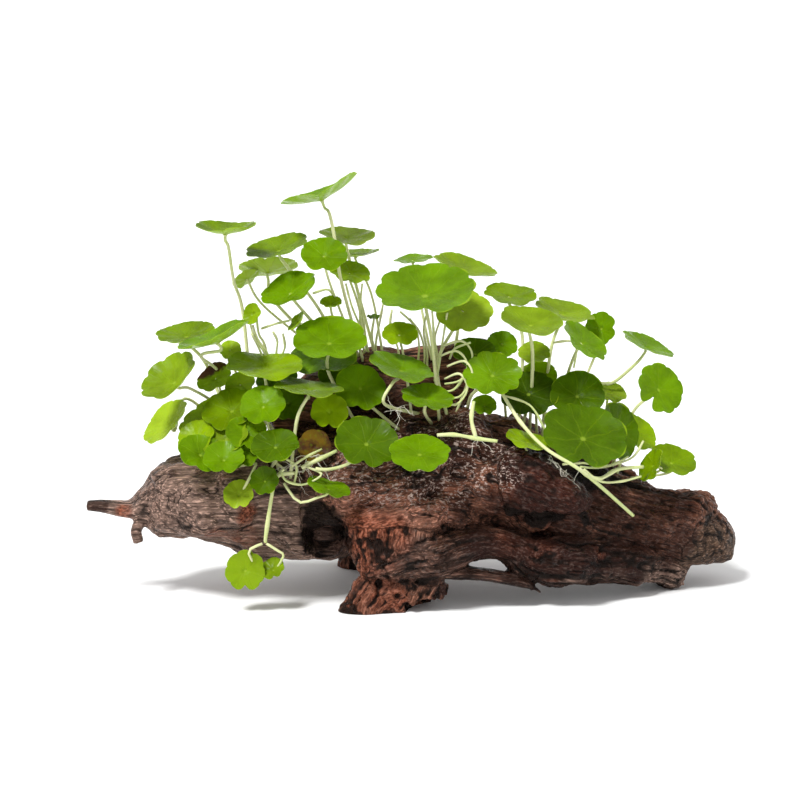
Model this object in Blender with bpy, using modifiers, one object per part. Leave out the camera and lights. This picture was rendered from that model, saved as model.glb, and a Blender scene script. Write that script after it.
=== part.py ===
"""Pennywort growing on driftwood.

The driftwood is one grown piece, split at its main forks into limbs. Each limb is lofted along
stations. The pennywort is a set of leaves, each a lobed saucer grown together with its stalk, and
the runners that they grow from.

Places are given as seen from the front, in millimetres: ACROSS to the right and UP from the middle
of the front foot, both measured square to the line of sight, and BACK, the true distance behind the
front foot. seen() turns them into places in space. +X is right, +Y is away and +Z is up.
"""

import math
from typing import NamedTuple

import bmesh
import bpy
from mathutils import Matrix, Vector, noise
from mathutils.bvhtree import BVHTree

MM = 0.001
OBJECT_NAME = "pennywort_on_driftwood"

# The line of sight along which the front view was measured
SIGHT_ELEVATION = math.radians(10.0)
SIGHT_DISTANCE = 889.0
SIGHT_ACROSS = 1.2
SIGHT_UP = 83.2

# Driftwood
GAP = 0.3  # between two pieces that touch
WOOD_SIDES = 13
RING_SPACING = 12.0
SECTION_POWER = 2.4  # of the limbs' squarish round sections
LUMP_SIZE = 20.0  # width of the swellings along a limb
KNOB_SIZE = 8.0  # width of the smaller knobs on them
KNOB_SHARE = 0.5  # of the swellings' height
THINNEST = 0.4  # half size of a splinter's tip
FORK_ROOM = 2.0 * GAP  # kept clear round a limb where another one grows from it
RIGHT_FORK_X = 84.0  # the right limb parts from the trunk here
FLOOR_SIZE = (400.0, 300.0, 30.0)  # of the block that cuts the wood's feet flat
WOOD_ROUGHNESS = 0.45

# Pennywort
BLADE_THICKNESS = 0.8
STALK_RADIUS = 0.9
SMALL_STALK_RADIUS = 0.7
STALK_LEAD = 0.25  # of a blade's width, for which the stalk runs square to the blade
ROUTED_LEAD = 0.10  # the same, for a stalk that passes given places
STALK_STRETCHES = 4  # straight lengths of a stalk
FOOT_SPACING = 1.6  # between the stalks that rise from one crown, along its two rows
FOOT_ROW = 2.2  # from a crown's middle to each of its rows
FOOT_SINK = 0.5  # of a stalk in the wood, before it is cut back to keep its gap
SINUS = 0.93  # of a blade's radius, between two lobes
LOBES = 7
SMALL_LOBES = 6
SMALL_BLADE = 20.0  # blades narrower than this have fewer lobes
LARGE_BLADE = 29.5  # blades wider than this have a ring of points between middle and rim
MIDDLE_SHARE = 0.6  # of a blade's cup, below the middle of its outline
RUNNER_RADIUS = 1.0
LEAF_ROUGHNESS = 0.3
SHARP_ANGLE = math.radians(40.0)  # edges flatter than this are shaded smooth
ABOVE_ALL = 200.0  # a height over the whole plant
NEAR_RIM = 0.9  # of a blade's radius


def sight_axes():
    """The direction of the line of sight and the upward direction square to it."""
    along = Vector((0.0, math.cos(SIGHT_ELEVATION), -math.sin(SIGHT_ELEVATION)))
    upward = Vector((0.0, math.sin(SIGHT_ELEVATION), math.cos(SIGHT_ELEVATION)))
    return along, upward


def eye_point():
    along, upward = sight_axes()
    return Vector((SIGHT_ACROSS, 0.0, 0.0)) + upward * SIGHT_UP - along * SIGHT_DISTANCE


def sight_scale(up, back):
    """How much larger than in the front view a thing at this distance really is."""
    _, upward = sight_axes()
    eye = eye_point()
    return (back - eye.y) / (upward.y * up - eye.y)


def seen(across, up, back):
    """The place in space, in millimetres, of a point seen from the front."""
    _, upward = sight_axes()
    on_plane = Vector((across, 0.0, 0.0)) + upward * up
    eye = eye_point()
    return eye + (on_plane - eye) * sight_scale(up, back)


class Limb(NamedTuple):
    """A length of driftwood: stations of (across, up, back, half height, half depth)."""

    stations: tuple
    lump: float  # height of the swellings, as a part of the half size
    seed: float
    colour: tuple
    hidden: bool = False  # its stations are then true places (x, z, y, half height, half depth)
    sides: int = WOOD_SIDES
    spacing: float = RING_SPACING


DARK_WOOD = (0.055, 0.028, 0.018)
GREY_WOOD = (0.120, 0.085, 0.065)
RED_WOOD = (0.110, 0.038, 0.022)
BROWN_WOOD = (0.095, 0.058, 0.036)

LIMBS = {
    "wood_trunk": Limb(
        (
            (-47, 55, 34, 10, 16),
            (-40, 54, 35, 17, 25),
            (-26, 53, 36, 19, 31),
            (-10, 54, 37, 21, 34),
            (6, 57, 38, 23, 35),
            (22, 57, 38, 23, 35),
            (38, 54, 38, 22, 33),
            (54, 50, 38, 20, 31),
            (70, 46, 39, 18, 28),
            (86, 41, 41, 16.5, 25),
            (101, 36.5, 43, 14.5, 22),
            (112, 34.5, 44, 15, 20.5),
            (119, 32, 44, 13.4, 18),
            (125, 29.6, 44, 11, 15),
            (130, 26.6, 43, 8, 11.5),
            (133, 23.6, 42, 4.6, 6.5),
            (134, 23, 42, 2.4, 4),
        ),
        0.32,
        3.0,
        DARK_WOOD,
        sides=14,
    ),
    "wood_low_limb": Limb(
        (
            (-4, 17.6, -3, 5.5, 7),
            (-1, 18.6, -2, 7.2, 8),
            (6, 21, -1, 9.4, 10),
            (14, 22.4, 1, 9.8, 12),
            (24, 25, 5, 8, 14),
            (32, 26.6, 8, 7, 15),
            (39, 27, 10, 6, 15.5),
            (46, 25, 12, 7.4, 16),
            (52.5, 21.4, 14, 10.2, 16.5),
            (66, 20.6, 17, 11.4, 17.5),
            (82, 20.4, 24, 11, 16.5),
            (95, 19.4, 32, 10.4, 14),
            (105, 16.8, 38, 9.4, 12),
            (111, 14.8, 41, 7.8, 10.5),
            (114.4, 13.8, 42, 6, 8),
        ),
        0.28,
        17.0,
        DARK_WOOD,
    ),
    "wood_front_foot": Limb(
        (
            (1, 44, 10, 24, 13),
            (2, 36, 10, 24, 16),
            (1, 26, 9, 21.5, 17),
            (-1, 17, 8, 18.5, 15),
            (-1, 11, 7, 17.5, 13),
            (-4, 7, 6, 17, 12.5),
            (-9, 3, 4, 14, 11.5),
            (-10, -6, 3, 13, 10.5),
        ),
        0.30,
        11.0,
        RED_WOOD,
    ),
    "wood_left_limb": Limb(
        (
            (-123.4, 41.8, 22, 0.9, 1.2),
            (-118.0, 41.4, 22, 1.8, 2.6),
            (-111.0, 40.4, 23, 2.8, 4.5),
            (-105.5, 40.4, 24, 3.6, 8),
            (-100.5, 42.4, 25, 6.4, 12),
            (-96.5, 43.4, 26, 10, 17),
            (-90, 43.6, 27, 14.6, 21),
            (-79, 44.8, 28, 17.4, 25),
            (-63, 44.4, 29, 19.6, 28),
            (-49, 42.6, 31, 21.6, 28),
            (-36, 42.2, 33, 22.0, 28),
            (-22, 41, 44, 18, 20),
        ),
        0.24,
        5.0,
        GREY_WOOD,
    ),
    "wood_upper_branch": Limb(
        (
            (-50, 72, 46, 7, 9),
            (-36, 78, 50, 14, 12),
            (-20, 80, 54, 19, 14),
            (-6, 83, 56, 20, 14),
            (8, 88, 56, 18, 12),
            (19, 95, 55, 13, 9),
            (27, 103, 53, 6, 6.5),
            (34, 104.5, 51, 3.6, 5),
            (39, 102, 50, 2.4, 3),
        ),
        0.30,
        23.0,
        DARK_WOOD,
    ),
    "wood_rear_foot": Limb(
        (
            (-8, 42, 60, 18, 12),
            (-10, 26, 66, 15, 11),
            (-12, 12, 71, 13, 10),
            (-13, 3, 73, 13, 10),
            (-13, -6, 74, 12, 9),
        ),
        0.22,
        29.0,
        DARK_WOOD,
        True,
    ),
    "wood_splinter": Limb(
        (
            (15, 16.2, 0, 3.4, 5),
            (24, 15.8, 2, 3.4, 6),
            (36, 14.8, 3, 3.2, 6.5),
            (48, 12, 5, 2.8, 6),
            (53.5, 9.8, 6, 1.2, 3),
            (57.4, 6.8, 6, 0.5, 0.8),
        ),
        0.10,
        31.0,
        DARK_WOOD,
        sides=8,
    ),
}

# Swellings and splinters that grew from a limb: (the limb, their own stations)
OUTGROWTHS = {
    "toe": (
        "wood_front_foot",
        Limb(
            (
                (0, 10, 8, 5, 9),
                (8, 9.4, 7, 5.2, 8.5),
                (14, 8.6, 6, 4.6, 7),
                (18.6, 8, 6, 3.4, 5),
                (20.4, 8, 6, 1.4, 2.5),
            ),
            0.20,
            47.0,
            RED_WOOD,
            sides=9,
        ),
    ),
    "burl": (
        "wood_trunk",
        Limb(
            (
                (41, 53, 10, 5, 4),
                (45, 53, 7, 13, 8),
                (52, 51, 5, 13.5, 12),
                (60, 48, 5, 10, 12),
                (68, 45.5, 6, 7, 10),
                (76, 43.5, 9, 3, 5),
            ),
            0.20,
            37.0,
            RED_WOOD,
            sides=11,
        ),
    ),
    "hook": (
        "wood_left_limb",
        Limb(
            (
                (-99, 38, 20, 2.4, 3),
                (-102.5, 35, 19, 1.9, 2.4),
                (-105, 31, 18, 1.5, 1.8),
                (-104, 27, 18, 1.2, 1.4),
            ),
            0.05,
            41.0,
            GREY_WOOD,
            sides=7,
        ),
    ),
}

# Bites that broke out of a limb: (the limb, their own stations)
HOLLOWS = {
    "upper_hollow": (
        "wood_trunk",
        Limb(
            (
                (50, 62, 2, 2, 6),
                (58, 60.5, 5, 5, 17),
                (66, 58.5, 8, 6.5, 20),
                (76, 57, 11, 6, 19),
                (84, 55, 15, 3.5, 9),
            ),
            0.20,
            53.0,
            RED_WOOD,
            sides=9,
        ),
    ),
    "front_hollow": (
        "wood_left_limb",
        Limb(
            (
                (-28, 45, -8, 8, 12),
                (-30, 38, -2, 9.5, 19),
                (-30, 28, -2, 9.5, 19),
                (-30, 19, -6, 8.5, 14),
            ),
            0.20,
            43.0,
            DARK_WOOD,
            sides=9,
        ),
    ),
}


FRESH_GREEN = (0.19, 0.40, 0.02)
OLIVE_GREEN = (0.22, 0.33, 0.03)
DARK_GREEN = (0.06, 0.19, 0.01)
PALE_GREEN = (0.33, 0.46, 0.14)
LIME_GREEN = (0.36, 0.48, 0.03)
STEM_CREAM = (0.62, 0.68, 0.36)


class Leaf(NamedTuple):
    """One leaf: a lobed saucer on its own stalk."""

    at: tuple  # middle of the blade as seen from the front (across, up, back)
    width: float  # as seen from the front
    lean: float  # degrees by which the blade faces the front, 0 where it lies level
    roll: float  # degrees by which its right side is raised
    cup: float  # height of the rim over the middle
    foot: tuple  # (crown, number in it), or a place seen from the front
    route: tuple = ()  # places that the stalk passes, seen from the front
    spin: float = 0.0  # degrees by which the blade is turned on its stalk
    notch: float = 0.0  # depth of the notch, as a part of the radius
    fold: float = 0.0  # height by which two opposite sides are folded up
    tone: tuple = FRESH_GREEN


# Where stalks rise from the wood: (x, y), true distances from the front foot
CROWNS = {
    "left": (-58, 38),
    "front_left": (-52, 10),
    "upper": (-14, 50),
    "branch": (24, 52),
    "middle": (14, 30),
    "right": (56, 38),
    "far_right": (84, 44),
}

LEAVES = {
    "leaf_tall_left": Leaf(
        (-68, 153, 30),
        24,
        3,
        0,
        3.5,
        ("left", 0),
        ((-67, 144, 31), (-65, 131, 34), (-61, 116, 39)),
        tone=OLIVE_GREEN,
    ),
    "leaf_top": Leaf(
        (-31, 167, 44), 33, -4, 20, 4.5, ("upper", 0), ((-27, 158, 40), (-25, 149, 38), (-22, 130, 40))
    ),
    "leaf_upper_olive": Leaf(
        (-47.5, 144.5, 42),
        25.6,
        10,
        17,
        2.5,
        ("upper", -4),
        ((-42.5, 135, 42), (-30, 118, 46)),
        tone=OLIVE_GREEN,
    ),
    "leaf_upper_pale": Leaf(
        (-54, 137.5, 56), 22, -25, -6, 2.0, ("upper", -6), ((-48, 122, 56),), tone=PALE_GREEN
    ),
    "leaf_crown_round": Leaf((-29, 141.5, 26), 19.2, 39, -4, 1.5, ("upper", -1), ((-26, 128, 34),)),
    "leaf_crown_folded": Leaf(
        (-20, 149, 54), 22.8, 4, -4, 1.5, ("upper", 3), ((-17, 132, 63.5),), 0, 0, 2.5
    ),
    "leaf_crown_edge": Leaf(
        (-16.5, 142, 74), 19, 2, 5, 1.5, ("upper", 5), ((-10, 125, 66),), tone=OLIVE_GREEN
    ),
    "leaf_crown_dark": Leaf(
        (-18.5, 134.5, 51), 17, 24, -12, 1.0, ("upper", 1), ((-15, 120, 52),), tone=DARK_GREEN
    ),
    "leaf_upper_left": Leaf(
        (-43, 127.5, 28), 24, 22, 20, 2.5, ("upper", -2), ((-33, 114, 38),)
    ),
    "leaf_left_olive": Leaf(
        (-84, 110, 45), 24, 13, 4, 2.0, ("left", -4), ((-75, 96, 44),), tone=OLIVE_GREEN
    ),
    "leaf_left_long": Leaf(
        (-72.5, 109, 16), 30.5, 0, 21, 4.0, ("left", -2), ((-78, 101, 20), (-69, 92, 32))
    ),
    "leaf_left_bowl": Leaf(
        (-91, 93.5, 14), 26, 26, 33, 5.0, ("left", -6), ((-82, 88, 22), (-71, 80, 34)), tone=PALE_GREEN
    ),
    "leaf_left_pale": Leaf(
        (-92, 75.5, 26), 23, 20, 42, 3.0, ("left", -8), ((-85, 84, 34), (-76, 78, 40)), tone=PALE_GREEN
    ),
    "leaf_long_olive": Leaf(
        (-52.5, 97.5, 20), 31, 12, -2, 1.5, ("left", 2), ((-52, 86, 22),), tone=OLIVE_GREEN
    ),
    "leaf_big_dark": Leaf(
        (-27, 107.5, 16), 30.4, 26, 0, 2.5, ("middle", -18), ((-27, 94, 27),), tone=DARK_GREEN
    ),
    "leaf_lime_edge": Leaf(
        (-35, 88.5, 8), 28, 4, -5, 1.2, ("front_left", 6), ((-36, 84, 4), (-40, 75, 5)), tone=LIME_GREEN
    ),
    "leaf_glossy": Leaf((-53.5, 81.5, 4), 19, 45, 10, 2.0, ("front_left", 3)),
    "leaf_wide_pale": Leaf((-72.5, 74, 16), 29, 30, 8, 2.0, ("front_left", -3), tone=PALE_GREEN),
    "leaf_low_left": Leaf((-78, 62.5, -3), 19, 38, -20, 2.0, ("front_left", -5), ((-70, 58, 4),)),
    "leaf_low_left_bright": Leaf(
        (-69, 60.5, -9), 17, 38, 0, 2.0, ("front_left", -1), tone=LIME_GREEN
    ),
    "leaf_low_bright": Leaf((-48.5, 65.5, -9), 20, 31, 5, 1.5, ("front_left", 1)),
    "leaf_folded_on_wood": Leaf(
        (-63, 46, -5), 12.5, 55, 10, 0.5, (-56, 58, -3), ((-59, 52, -5),), 0, 0, 1.5, tone=LIME_GREEN
    ),
    "leaf_on_wood": Leaf(
        (-27, 48.8, -8), 18, 10, -17, 1.0, (-45, 50.5, -6), ((-31, 45, -8), (-39, 43, -8))
    ),
    "leaf_hanging": Leaf(
        (-60.4, 15.6, -4),
        16.4,
        72,
        0,
        1.0,
        (-53.6, 26.4, -3),
        ((-57, 17.5, -2), (-59, 23.5, -3)),
        tone=PALE_GREEN,
    ),
    "leaf_middle_dark": Leaf((-14.5, 88.5, 20), 20, 50, -10, 1.0, ("middle", -8), tone=DARK_GREEN),
    "leaf_middle_left": Leaf((-27, 79, 8), 15.5, 52, 0, 1.0, ("middle", -14), tone=DARK_GREEN),
    "leaf_front_large": Leaf(
        (-12, 66.8, -7), 26, 42, -12, 2.0, (-32.4, 56.2, -7), ((-19, 58.4, -3), (-27, 56, -6))
    ),
    "leaf_front_oval": Leaf((9, 62.5, -14), 24.8, 25, 0, 1.0, (14, 66, 3)),
    "leaf_lime_below": Leaf(
        (2, 96.5, 16), 27, 13, -15, 2.0, ("middle", -3), ((-2, 90, 8), (-5, 82, 7)), tone=LIME_GREEN
    ),
    "leaf_middle_green": Leaf((12, 84.8, 8), 21.6, 18, -8, 1.5, ("middle", 0)),
    "leaf_small_round": Leaf(
        (1, 110, 26), 14.4, 35, 0, 1.0, ("middle", -5), ((3, 99, 35),), tone=DARK_GREEN
    ),
    "leaf_biggest": Leaf((11, 127.5, 22), 40.4, 22, 0, 4.0, ("middle", 2), ((14, 106, 20),)),
    "leaf_olive_right": Leaf(
        (25, 118, 36), 24, 28, -6, 1.5, ("middle", 4), ((16, 98, 32),), tone=OLIVE_GREEN
    ),
    "leaf_back_right": Leaf((27, 136.5, 58), 27, 8, -15, 3.0, ("branch", 0), ((25, 118, 57),)),
    "leaf_olive_oval": Leaf(
        (45, 125.5, 44), 21.6, 16, -5, 1.5, ("right", -4), ((50, 108, 42),), tone=OLIVE_GREEN
    ),
    "leaf_right_crown": Leaf((53.5, 115, 20), 25, 20, -8, 3.0, ("right", -1), ((54, 100, 26),)),
    "leaf_right_grey": Leaf(
        (66.5, 119, 46), 25, 13, -14, 2.5, ("right", 2), ((61, 102, 43),), tone=PALE_GREEN
    ),
    "leaf_right_lower": Leaf((74.5, 107, 24), 22, 20, -38, 2.0, ("right", 4), ((68, 94, 38),)),
    "leaf_right_upright": Leaf((81, 112, 46), 14, 55, 65, 1.0, ("right", 6), (), 30),
    "leaf_far_right_edge": Leaf(
        (100, 105.5, 48),
        23,
        8,
        -23,
        2.0,
        ("far_right", -6),
        ((95, 98, 48), (86, 90.5, 50), (77, 88, 50)),
    ),
    "leaf_far_right": Leaf(
        (105.5, 89, 30), 21.6, 50, -45, 1.5, ("far_right", 3), ((99, 84, 33), (93, 77, 35)), 0, 0.55
    ),
    "leaf_right_dark": Leaf((73, 86, 26), 22.4, 50, 0, 1.0, ("right", 8), tone=DARK_GREEN),
    "leaf_right_big": Leaf((74.5, 69.5, 6), 35, 37, -10, 3.0, ("right", 10), ((72, 66, 16),)),
    "leaf_right_behind": Leaf(
        (88.5, 72, 24), 24, 42, -65, 2.0, ("far_right", -3), ((84, 68, 36),), tone=DARK_GREEN
    ),
    "leaf_right_lime": Leaf((97, 70.5, 50), 17.6, 30, -40, 1.5, ("far_right", 4), tone=LIME_GREEN),
    "leaf_right_low": Leaf((109, 59.5, 18), 18, 28, -12, 2.0, ("far_right", 6)),
    "leaf_front_edge": Leaf(
        (52, 67.5, 3), 18.4, 12, -15, 1.0, ("right", -9), ((51, 63, 8),), tone=LIME_GREEN
    ),
    "leaf_round_bright": Leaf((38, 94, 12), 24, 38, 0, 1.5, ("middle", 9), ((30, 86, 20),)),
}

RUNNERS = {
    "runner_on_hump": (
        ((16, 69.6, 1), (23, 69.8, 0), (31, 68.4, 0), (40, 67.2, -1)),
        ((31.4, 68.6, 0), (29.6, 76, 2), (30.6, 83, 5)),
    ),
    "runner_cut": (
        (
            (42, 86, 12),
            (49, 75, 4),
            (59, 64.5, -7),
            (72, 56.4, -9),
            (81, 49.2, -2),
            (94, 37.6, 10),
        ),
        ((72.4, 56.2, -9), (80, 52.2, -4), (88, 56, 2), (98, 57, 8)),
    ),
    "runner_hanging": (
        ((-40.5, 54.5, -4), (-47.6, 53.2, -6), (-49.6, 46.8, -6), (-52, 31, -4), (-52.4, 27, -3)),
    ),
    "runner_knot": (((-38, 56.6, -4), (-33.5, 58.8, -3), (-24, 63.4, 1)),),
}


def between(values, place):
    """Catmull-Rom reading of a list of equal-length tuples at a place from 0 to len - 1."""
    last = len(values) - 1
    i = min(int(place), last - 1)
    t = place - i
    a, b = values[max(i - 1, 0)], values[i]
    c, d = values[i + 1], values[min(i + 2, last)]
    result = []
    for va, vb, vc, vd in zip(a, b, c, d):
        slope = (vc - va) * t + (2 * va - 5 * vb + 4 * vc - vd) * t * t
        result.append(vb + 0.5 * (slope + (3 * vb - va - 3 * vc + vd) * t**3))
    return result


def new_object(name, mesh, collection):
    made = bpy.data.objects.new(name, mesh)
    collection.objects.link(made)
    return made


def give_material(made, colour, roughness):
    """Gives an object a material of its own, under its own name."""
    finish = bpy.data.materials.new(made.name)
    finish.use_nodes = True
    shader = finish.node_tree.nodes["Principled BSDF"]
    shader.inputs["Base Color"].default_value = (*colour, 1.0)
    shader.inputs["Roughness"].default_value = roughness
    shader.inputs["Metallic"].default_value = 0.0
    made.data.materials.clear()
    made.data.materials.append(finish)


def boolean(made, cutter, operation):
    step = made.modifiers.new(operation.lower(), "BOOLEAN")
    step.operation = operation
    step.object = cutter
    step.solver = "EXACT"


def baked(made):
    """Replaces an object's mesh with its evaluated mesh, without loose chips."""
    depsgraph = bpy.context.evaluated_depsgraph_get()
    mesh = bpy.data.meshes.new_from_object(made.evaluated_get(depsgraph))
    made.modifiers.clear()
    made.data = mesh
    drop_chips(mesh)


def drop_chips(mesh):
    """Keeps the largest of a mesh's loose bodies."""
    bm = bmesh.new()
    bm.from_mesh(mesh)
    bodies, met = [], set()
    for start in bm.verts:
        if start in met:
            continue
        body, front = [], [start]
        met.add(start)
        while front:
            vert = front.pop()
            body.append(vert)
            for edge in vert.link_edges:
                other = edge.other_vert(vert)
                if other not in met:
                    met.add(other)
                    front.append(other)
        bodies.append(body)
    bodies.sort(key=len)
    for body in bodies[:-1]:
        bmesh.ops.delete(bm, geom=body, context="VERTS")
    bmesh.ops.dissolve_degenerate(bm, dist=0.00001, edges=bm.edges)
    bm.to_mesh(mesh)
    bm.free()


def box_round(made):
    corners = [[v.co[axis] for v in made.data.vertices] for axis in range(3)]
    return [(min(values), max(values)) for values in corners]


def boxes_meet(a, b):
    """Whether the boxes round two objects' meshes touch."""
    return all(
        high_a >= low_b and high_b >= low_a
        for (low_a, high_a), (low_b, high_b) in zip(box_round(a), box_round(b))
    )


# Driftwood


def limb_places(limb):
    """Places along a limb's stations, about RING_SPACING apart."""
    places = [0.0]
    for i, (start, end) in enumerate(zip(limb.stations, limb.stations[1:])):
        count = max(1, round(math.dist(start[:3], end[:3]) / limb.spacing))
        places += [i + (k + 1) / count for k in range(count)]
    return places


def limb_spine(limb):
    """Centres, half heights and half depths of a limb's rings, in millimetres."""
    rings = []
    for place in limb_places(limb):
        across, up, back, high, deep = between(limb.stations, place)
        if limb.hidden:
            centre, scale = Vector((across, back, up)), 1.0
        else:
            centre, scale = seen(across, up, back), sight_scale(up, back)
        rings.append((centre, max(high * scale, THINNEST), max(deep, THINNEST)))
    return rings


def squarish(value):
    return math.copysign(abs(value) ** (2.0 / SECTION_POWER), value)


def limb_ring(limb, rings, k, grow):
    """A ring's centre and the points round it, each moved out by grow."""
    centre, high, deep = rings[k]
    last = len(rings) - 1
    tangent = (rings[min(k + 1, last)][0] - rings[max(k - 1, 0)][0]).normalized()
    outward = tangent * (grow * ((k == last) - (k == 0)))
    side = (Vector((0, 1, 0)) - tangent * tangent.y).normalized()
    other = tangent.cross(side)
    points = []
    for j in range(limb.sides):
        angle = 2 * math.pi * j / limb.sides
        radial = side * (squarish(math.cos(angle)) * deep) + other * (squarish(math.sin(angle)) * high)
        spot = centre + radial + Vector((limb.seed * LUMP_SIZE, 0, 0))
        swelling = noise.noise(spot / LUMP_SIZE) + KNOB_SHARE * noise.noise(spot / KNOB_SIZE)
        bulge = 1.0 + limb.lump * swelling
        points.append(centre + outward + radial * bulge + radial.normalized() * grow)
    return centre + outward, points


def limb_mesh(limb, grow=0.0):
    """A closed loft through a limb's rings."""
    spine = limb_spine(limb)
    rings = [limb_ring(limb, spine, k, grow) for k in range(len(spine))]
    bm = bmesh.new()
    loops = [[bm.verts.new(point * MM) for point in points] for _, points in rings]
    for lower, upper in zip(loops, loops[1:]):
        for j in range(limb.sides):
            after = (j + 1) % limb.sides
            bm.faces.new((lower[j], lower[after], upper[after]))
            bm.faces.new((lower[j], upper[after], upper[j]))
    for loop, centre in ((loops[0], rings[0][0]), (loops[-1], rings[-1][0])):
        tip = bm.verts.new(centre * MM)
        for j in range(limb.sides):
            bm.faces.new((loop[j], loop[(j + 1) % limb.sides], tip))
    bmesh.ops.recalc_face_normals(bm, faces=bm.faces)
    mesh = bpy.data.meshes.new("limb")
    bm.to_mesh(mesh)
    bm.free()
    return mesh


def floor_cutter(cutters):
    bm = bmesh.new()
    bmesh.ops.create_cube(bm, size=1.0)
    bmesh.ops.scale(bm, vec=Vector(FLOOR_SIZE) * MM, verts=bm.verts)
    bmesh.ops.translate(bm, vec=(0, 0, -0.5 * FLOOR_SIZE[2] * MM), verts=bm.verts)
    mesh = bpy.data.meshes.new("floor")
    bm.to_mesh(mesh)
    bm.free()
    return new_object("cutter_floor", mesh, cutters)


def half_of(mesh, keep_right):
    """The part of a mesh on one side of the right fork, closed with a flat face."""
    half = mesh.copy()
    side = 0.5 * GAP if keep_right else -0.5 * GAP
    bm = bmesh.new()
    bm.from_mesh(half)
    bmesh.ops.bisect_plane(
        bm,
        geom=bm.verts[:] + bm.edges[:] + bm.faces[:],
        plane_co=((RIGHT_FORK_X + side) * MM, 0, 0),
        plane_no=(1, 0, 0),
        clear_inner=keep_right,
        clear_outer=not keep_right,
    )
    bmesh.ops.holes_fill(bm, edges=[e for e in bm.edges if e.is_boundary])
    bmesh.ops.recalc_face_normals(bm, faces=bm.faces)
    bm.to_mesh(half)
    bm.free()
    return half


def split_right_limb(trunk, parts):
    """Parts the trunk from its right limb."""
    whole = trunk.data
    right = new_object("wood_right_limb", half_of(whole, True), parts)
    give_material(right, BROWN_WOOD, WOOD_ROUGHNESS)
    trunk.data = half_of(whole, False)


def build_wood(parts, cutters):
    """Makes the limbs, each cut by those before it, and returns slightly larger cutters."""
    floor = floor_cutter(cutters)
    envelopes = []
    for name, limb in LIMBS.items():
        wood = new_object(name, limb_mesh(limb), parts)
        envelope = new_object("cutter_" + name, limb_mesh(limb, FORK_ROOM), cutters)
        for extra, (owner, shape) in OUTGROWTHS.items():
            if owner == name:
                boolean(wood, new_object("cutter_" + extra, limb_mesh(shape), cutters), "UNION")
                wide = limb_mesh(shape, FORK_ROOM)
                boolean(envelope, new_object("cutter_wide_" + extra, wide, cutters), "UNION")
        for extra, (owner, shape) in HOLLOWS.items():
            if owner == name:
                boolean(wood, new_object("cutter_" + extra, limb_mesh(shape), cutters), "DIFFERENCE")
        baked(envelope)
        for other in envelopes:
            if boxes_meet(wood, other):
                boolean(wood, other, "DIFFERENCE")
        boolean(wood, floor, "DIFFERENCE")
        baked(wood)
        give_material(wood, limb.colour, WOOD_ROUGHNESS)
        envelopes.append(envelope)
    split_right_limb(parts.objects["wood_trunk"], parts)
    return envelopes


# Pennywort


def blade_turn(leaf):
    """The turn from a level blade to the blade as it grew."""
    lean = Matrix.Rotation(math.radians(leaf.lean), 3, "X")
    roll = Matrix.Rotation(-math.radians(leaf.roll), 3, "Y")
    spin = Matrix.Rotation(math.radians(leaf.spin), 3, "Z")
    return roll @ lean @ spin


def blade_mesh(leaf):
    """The open surface of a lobed saucer, in its place."""
    lobes = LOBES if leaf.width >= SMALL_BLADE else SMALL_LOBES
    scale = sight_scale(leaf.at[1], leaf.at[2])
    bm = bmesh.new()
    bmesh.ops.create_circle(bm, cap_ends=True, cap_tris=True, segments=2 * lobes, radius=1.0)
    if leaf.width > LARGE_BLADE:
        spokes = [e for e in bm.edges if not e.is_boundary]
        bmesh.ops.subdivide_edges(bm, edges=spokes, cuts=1)
    turn = blade_turn(leaf)
    centre = seen(*leaf.at)
    for vert in bm.verts:
        share = math.hypot(vert.co.x, vert.co.y)
        angle = math.atan2(vert.co.x, -vert.co.y)  # 0 at the notch
        reach = 1.0
        if share > NEAR_RIM and round(angle / math.pi * lobes) % 2 == 0:
            reach = SINUS
        if share > NEAR_RIM and abs(angle) < 0.5 * math.pi / lobes:
            reach -= leaf.notch
        across, along = vert.co.x * reach, vert.co.y * reach
        height = leaf.cup * (share * share - MIDDLE_SHARE) + leaf.fold * abs(across)
        flat = Vector((across, along, 0)) * (0.5 * leaf.width * scale)
        vert.co = (centre + turn @ (flat + Vector((0, 0, height)))) * MM
    mesh = bpy.data.meshes.new("blade")
    bm.to_mesh(mesh)
    bm.free()
    return mesh


def stalk_route(leaf, foot):
    """Points along a leaf's stalk, from its blade to its foot, in millimetres."""
    turn = blade_turn(leaf)
    joint = seen(*leaf.at) - turn @ Vector((0, 0, MIDDLE_SHARE * leaf.cup))
    share = ROUTED_LEAD if leaf.route else STALK_LEAD
    lead = joint - turn @ Vector((0, 0, share * leaf.width))
    corners = [joint, lead, *(seen(*place) for place in leaf.route), foot]
    return [joint, *smooth(corners, max(STALK_STRETCHES - 1, len(corners) - 2), 1)]


def smooth(corners, stretches, start=0):
    """Points along a smooth line through corners, from a given one to the last."""
    length = len(corners) - 1 - start
    return [Vector(between(corners, start + length * k / stretches)) for k in range(stretches + 1)]


def tube(name, points, radius, collection):
    """A closed round rod along points given in millimetres."""
    curve = bpy.data.curves.new(name, "CURVE")
    curve.dimensions = "3D"
    curve.bevel_depth = radius * MM
    curve.bevel_resolution = 0
    curve.use_fill_caps = True
    line = curve.splines.new("POLY")
    line.points.add(len(points) - 1)
    for point, place in zip(line.points, points):
        point.co = (*(place * MM), 1.0)
    guide = new_object(name, curve, collection)
    depsgraph = bpy.context.evaluated_depsgraph_get()
    mesh = bpy.data.meshes.new_from_object(guide.evaluated_get(depsgraph))
    bpy.data.objects.remove(guide, do_unlink=True)
    bm = bmesh.new()
    bm.from_mesh(mesh)
    bmesh.ops.remove_doubles(bm, verts=bm.verts, dist=0.000001)
    bmesh.ops.recalc_face_normals(bm, faces=bm.faces)
    bm.to_mesh(mesh)
    bm.free()
    return new_object(name, mesh, collection)


def wood_trees(parts):
    depsgraph = bpy.context.evaluated_depsgraph_get()
    return [BVHTree.FromObject(wood, depsgraph) for wood in parts.objects]


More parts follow.
